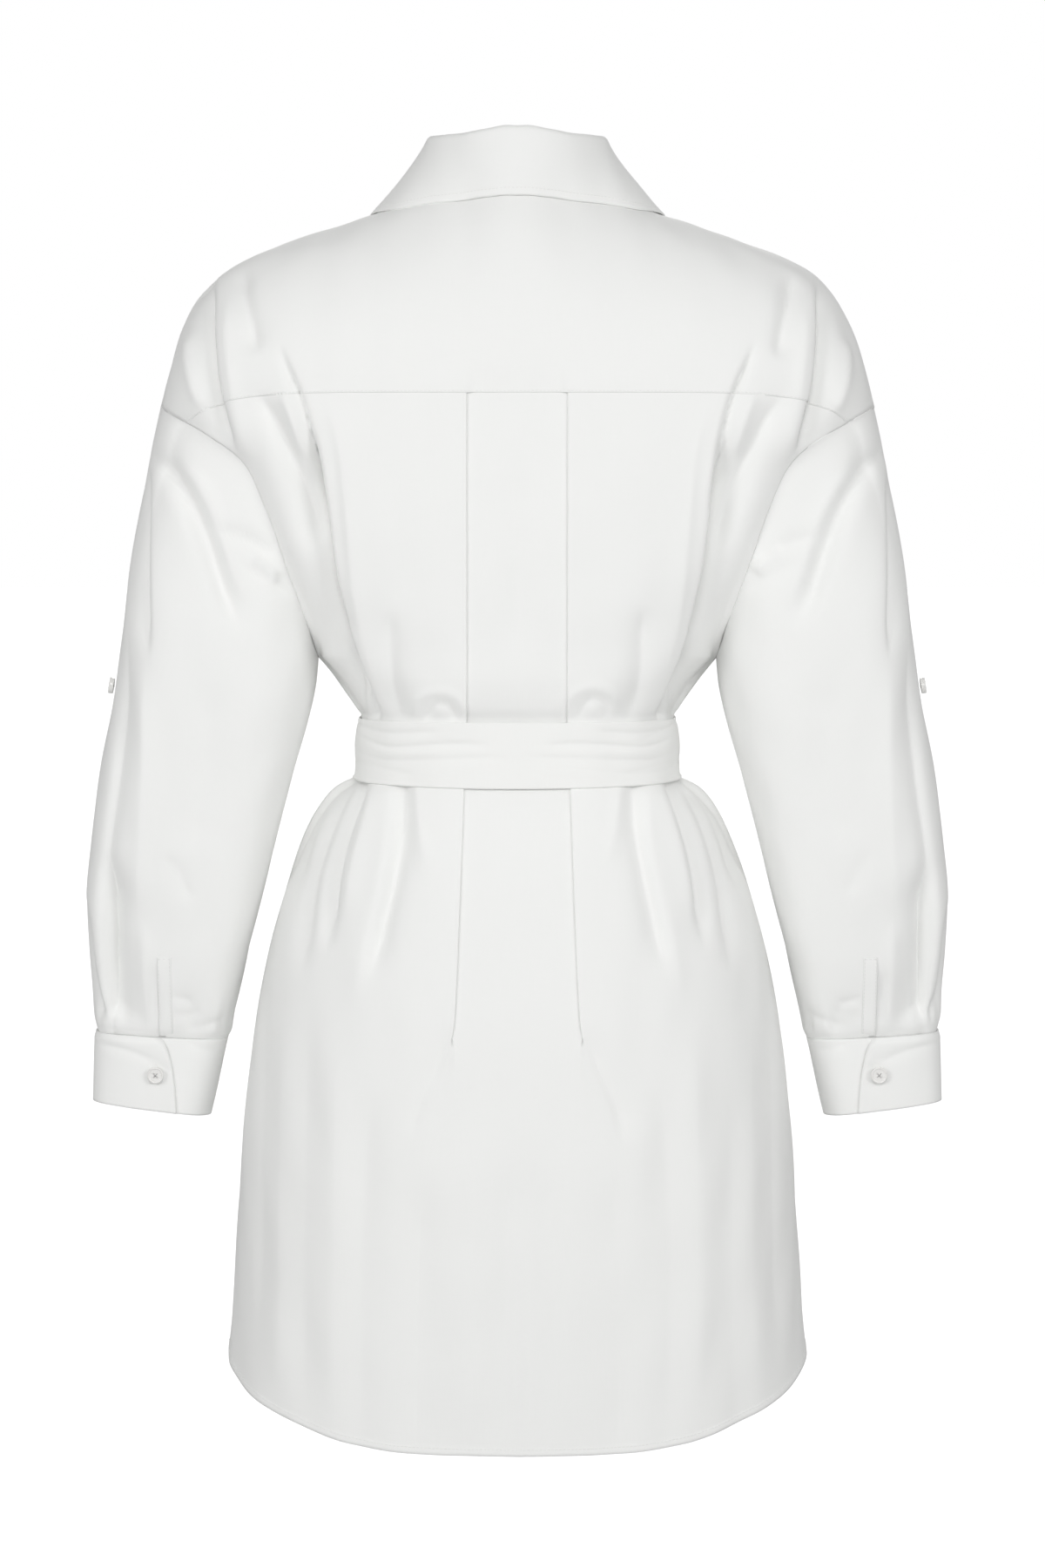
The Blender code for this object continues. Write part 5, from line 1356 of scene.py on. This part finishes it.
def make_tail(side):
    top_z = KNOT_Z - KNOT_SIZE[2] / 2 + TAIL_IN_KNOT
    across = np.linspace(-1, 1, TAIL_COLUMNS)
    rows = []
    for down in np.concatenate((
        np.linspace(0, TAIL_TOP, TAIL_TOP_ROWS)[:-1], np.linspace(TAIL_TOP, 1, TAIL_ROWS),
    )):
        x, half_width, lift = tail_at(down)
        z = lerp(top_z, TAIL_FOOT_Z[side], down)
        row = body_row(FRONT, 2 + (z - BELT_BOTTOM_Z) / (HEM_Z - BELT_BOTTOM_Z))
        wave = TAIL_WAVE * np.sin(TAIL_WAVES * across + TAIL_WAVES_DOWN * down + side)
        wave = wave * smooth(down / TAIL_WAVE_FROM) * (1 - TAIL_WAVE_FADE * down)
        gather = TAIL_GATHER * np.cos(TAIL_GATHERS * across + side)
        gather = gather * (1 - smooth(down / TAIL_GATHER_END))
        rows.append(row.place(side * (x + half_width * across), lift + wave + gather))
    word = SIDE_WORDS[side]
    return cloth(
        f"sash_tail_{word}", f"belt_tail_{word}", rippled(*stacked(rows)), DOUBLED, BELT_COTTON,
        "belt_cotton", flip=side == RIGHT,
    )


# ------ buttons


def add_cylinder(vertices, radius, depth, place=(0, 0, 0), rotation=(0, 0, 0)):
    bpy.ops.object.select_all(action="DESELECT")
    bpy.ops.mesh.primitive_cylinder_add(
        vertices=vertices, radius=radius * MM, depth=depth * MM, rotation=rotation,
        location=[part * MM for part in place],
    )
    return bpy.context.object


def make_active(piece):
    """Selects this piece only."""
    bpy.ops.object.select_all(action="DESELECT")
    piece.select_set(True)
    bpy.context.view_layer.objects.active = piece


def shirt_button(thick):
    """Round button with a raised rim, a dished middle and four holes."""
    body = add_cylinder(BUTTON_SIDES, BUTTON_RADIUS, thick)
    bpy.ops.object.mode_set(mode="EDIT")
    bpy.ops.mesh.select_mode(type="FACE")
    bpy.ops.mesh.select_all(action="DESELECT")
    form = bmesh.from_edit_mesh(body.data)
    for face in form.faces:
        face.select_set(face.normal.z > FACES_UP)
    bmesh.update_edit_mesh(body.data)
    bpy.ops.mesh.inset(thickness=BUTTON_RIM * MM)
    bpy.ops.mesh.inset(thickness=BUTTON_SLOPE * MM)
    bpy.ops.transform.translate(value=(0, 0, -BUTTON_DISH * MM))
    bpy.ops.mesh.inset(thickness=BUTTON_FLAT * MM)
    bpy.ops.mesh.select_all(action="DESELECT")
    bpy.ops.object.mode_set(mode="OBJECT")
    rounded = body.modifiers.new("rounded", "BEVEL")
    rounded.width, rounded.segments = BUTTON_EDGE * MM, BEVEL_SEGMENTS
    rounded.angle_limit = math.radians(BEVEL_ANGLE)
    bpy.ops.object.modifier_apply(modifier="rounded")
    for x in (-HOLE_OFF, HOLE_OFF):
        for y in (-HOLE_OFF, HOLE_OFF):
            drill = add_cylinder(HOLE_SIDES, HOLE_RADIUS, 3 * thick, (x, y, 0))
            hole = body.modifiers.new("hole", "BOOLEAN")
            hole.operation, hole.object, hole.solver = "DIFFERENCE", drill, "EXACT"
            bpy.context.view_layer.objects.active = body
            bpy.ops.object.modifier_apply(modifier="hole")
            bpy.data.objects.remove(drill, do_unlink=True)
    make_active(body)
    bpy.ops.object.shade_smooth_by_angle(angle=math.radians(SMOOTH_ANGLE))
    body.data.materials.append(RESIN)
    return body


def thread_cross(thick):
    """Thread sewn crosswise through the four holes, and its shank under the button."""
    top = thick / 2 - BUTTON_DISH
    threads = [
        add_cylinder(
            THREAD_SIDES, THREAD_RADIUS, THREAD_LENGTH,
            (off, -sign * off, top + THREAD_LIFT + THREAD_LAYER * (sign + 1)),
            (math.pi / 2, 0, sign * math.pi / 4),
        )
        for sign in (-1, 1) for off in (-THREAD_GAP, 0, THREAD_GAP)
    ]
    shank_place = (0, 0, -(thick / 2 + SHANK_DROP))
    threads.append(add_cylinder(SHANK_SIDES, SHANK_RADIUS, SHANK_LENGTH, shank_place))
    make_active(threads[0])
    for thread in threads:
        thread.select_set(True)
    bpy.ops.object.transform_apply(location=True, rotation=True, scale=True)
    bpy.ops.object.join()
    made = bpy.context.object
    edges = made.modifiers.new("soft", "BEVEL")
    edges.width, edges.segments = THREAD_EDGE * MM, THREAD_SEGMENTS
    bpy.ops.object.modifier_apply(modifier="soft")
    bpy.ops.object.shade_smooth()
    made.data.materials.append(THREAD)
    return made


def seat(node, toward):
    """Place of a button on its cloth, as its solid lies, facing roughly this way."""
    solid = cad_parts[node].data
    corners = np.array([vertex.co for vertex in solid.vertices])
    areas = {}
    for face in solid.polygons:
        if face.normal.dot(Vector(toward)) > FACES_OUT:
            key = tuple(round(part, 2) for part in face.normal)
            areas[key] = areas.get(key, 0.0) + face.area
    normal = Vector(max(areas, key=areas.get)).normalized()
    place = Matrix.Translation(Vector((corners.max(0) + corners.min(0)) / 2))
    return place @ normal.to_track_quat("Z", "Y").to_matrix().to_4x4()


def seated(model, name, seat_matrix, slot, *nodes):
    """A copy of a button or its thread on its seat."""
    mesh = model.data.copy()
    mesh.name = name
    mesh.transform(seat_matrix)
    placed(name, mesh, slot, *nodes)


def make_buttons():
    names = ["button_stand", *(f"button_front_{i + 1}" for i in range(FRONT_BUTTONS))]
    front = dict.fromkeys(names, (0, -1, 0))
    cuff = {f"cuff_button_{word}": (0, 1, 0) for word in SIDE_WORDS.values()}
    tab = {f"tab_button_{word}": (side, 0, 0) for side, word in SIDE_WORDS.items()}
    for thick, group in ((BUTTON_THICK, {**front, **cuff}), (TAB_BUTTON_THICK, tab)):
        button, thread = shirt_button(thick), thread_cross(thick)
        for name, toward in group.items():
            spot = seat(name, toward)
            seated(button, f"shirt_{name}", spot, "button_white", name)
            seated(thread, f"thread_{name}", spot, "white_cotton")
        for model in (button, thread):
            bpy.data.objects.remove(model, do_unlink=True)


# ------ the dress

yoke, back = make_yoke(), make_back()
front_left = make_front(LEFT, -UNDERLAP, np.zeros_like)
front_right = make_front(RIGHT, LAP_HALF_WIDTH - BAND_COVER, right_lift)
band = make_band()
sleeves, slit_bands, cuffs = (
    {side: make(side) for side in SIDE_WORDS} for make in (make_sleeve, make_slit_band, make_cuff)
)
stand, collar = make_stand(), make_collar()
sash = make_sash()
make_knot()
tails = {side: make_tail(side) for side in SIDE_WORDS}
make_buttons()

# Rows of stitches: the pieces, then each row's edge and its distance from it
sew("stitches_yoke", yoke, ("top", 1.6), ("foot", 1.6))
sew("stitches_hem", (back, front_left, front_right), ("foot", 4.6))
sew("stitches_band", band, ("start", 4.0), ("end", 4.0))
sew("stitches_collar", collar, ("start", 5.5), ("foot", 5.5), ("end", 5.5))
sew("stitches_stand", stand, ("top", 2.0), ("foot", 3.0))
sew("stitches_sash", sash, ("top", 3.5), ("foot", 3.5))
for side, word in SIDE_WORDS.items():
    sew(f"stitches_cuff_{word}", cuffs[side],
        ("top", 1.8), ("top", 7.0), ("foot", 5.0), ("start", 3.0))
    sew(f"stitches_slit_{word}", slit_bands[side], ("top", 1.3), ("start", 1.3), ("end", 1.3),
        wall=SLIT_BAND_WALL)
    sew(f"stitches_armhole_{word}", sleeves[side], ("top", 2.4))
    sew(f"stitches_tail_{word}", tails[side], ("start", 3.5), ("end", 3.5), ("foot", 3.5))


# ------ floor, light and camera

FLOOR_Z, FLOOR_SIZE, FLOOR_GLOW, AMBIENT = -1.4, 60, 0.8, 0.4
LIGHT_AIM, LIGHT_SPREAD, LIGHT_SIZE = (0, 0, -0.35), 80, 1.2
# Lights: place and power
LIGHTS = {
    "back_light": ((0.1, 3.2, 0.9), 5.4), "front_light": ((-0.2, -3.2, 1.1), 8.5),
    "side_light_left": ((2.0, 2.4, 0.3), 4.4), "side_light_right": ((-2.0, 2.4, 0.3), 4.4),
}
CAMERA_PLACE, CAMERA_AIM, LENS, SENSOR = (-0.0037, 3.5, -0.15), (-0.0037, 0, -0.42), 113.24, 36


def seen_by_camera(tree, operation, value):
    seen = tree.nodes.new("ShaderNodeLightPath").outputs["Is Camera Ray"]
    return reckon(tree, operation, seen, value)


def make_floor():
    bpy.ops.object.select_all(action="DESELECT")
    bpy.ops.mesh.primitive_plane_add(size=FLOOR_SIZE, location=(0, 0, FLOOR_Z))
    floor = bpy.context.object
    floor.name = "studio_floor"
    paper = cloudy("floor_paper", {
        "Scale": 3.0, "Dark": (0.87, 0.87, 0.87, 1), "Light": (0.885, 0.885, 0.885, 1),
    }, {"Roughness": 0.9, "Emission Color": (1, 1, 1, 1)})
    tree = paper.node_tree
    glow = seen_by_camera(tree, "MULTIPLY", FLOOR_GLOW)
    feed(tree, tree.nodes["Principled BSDF"], {"Emission Strength": glow})
    floor.data.materials.append(paper)


def aimed(name, data, place, aim):
    """A light or camera at this place, looking at its aim."""
    made = bpy.data.objects.new(name, data)
    made.location = place
    made.rotation_euler = (Vector(aim) - Vector(place)).to_track_quat("-Z", "Y").to_euler()
    bpy.context.scene.collection.objects.link(made)
    return made


def studio():
    """White surroundings, softer as a light than they look, and the lights."""
    make_floor()
    world = bpy.data.worlds.new("studio")
    world.use_nodes = True
    tree = world.node_tree
    glow = seen_by_camera(tree, "MULTIPLY", 1 - AMBIENT)
    feed(tree, tree.nodes["Background"], {
        "Strength": reckon(tree, "ADD", glow, AMBIENT), "Color": (1, 1, 1, 1),
    })
    bpy.context.scene.world = world
    for name, (place, power) in LIGHTS.items():
        light = bpy.data.lights.new(name, "AREA")
        light.shape, light.size, light.energy = "DISK", LIGHT_SIZE, power
        light.spread = math.radians(LIGHT_SPREAD)
        aimed(name, light, place, LIGHT_AIM)
    bpy.context.scene.view_settings.view_transform = "Standard"


def set_camera():
    view = bpy.data.cameras.new("camera")
    view.sensor_fit, view.lens = "VERTICAL", LENS
    view.sensor_height = view.sensor_width = SENSOR
    bpy.context.scene.camera = aimed("camera", view, CAMERA_PLACE, CAMERA_AIM)


studio()
set_camera()
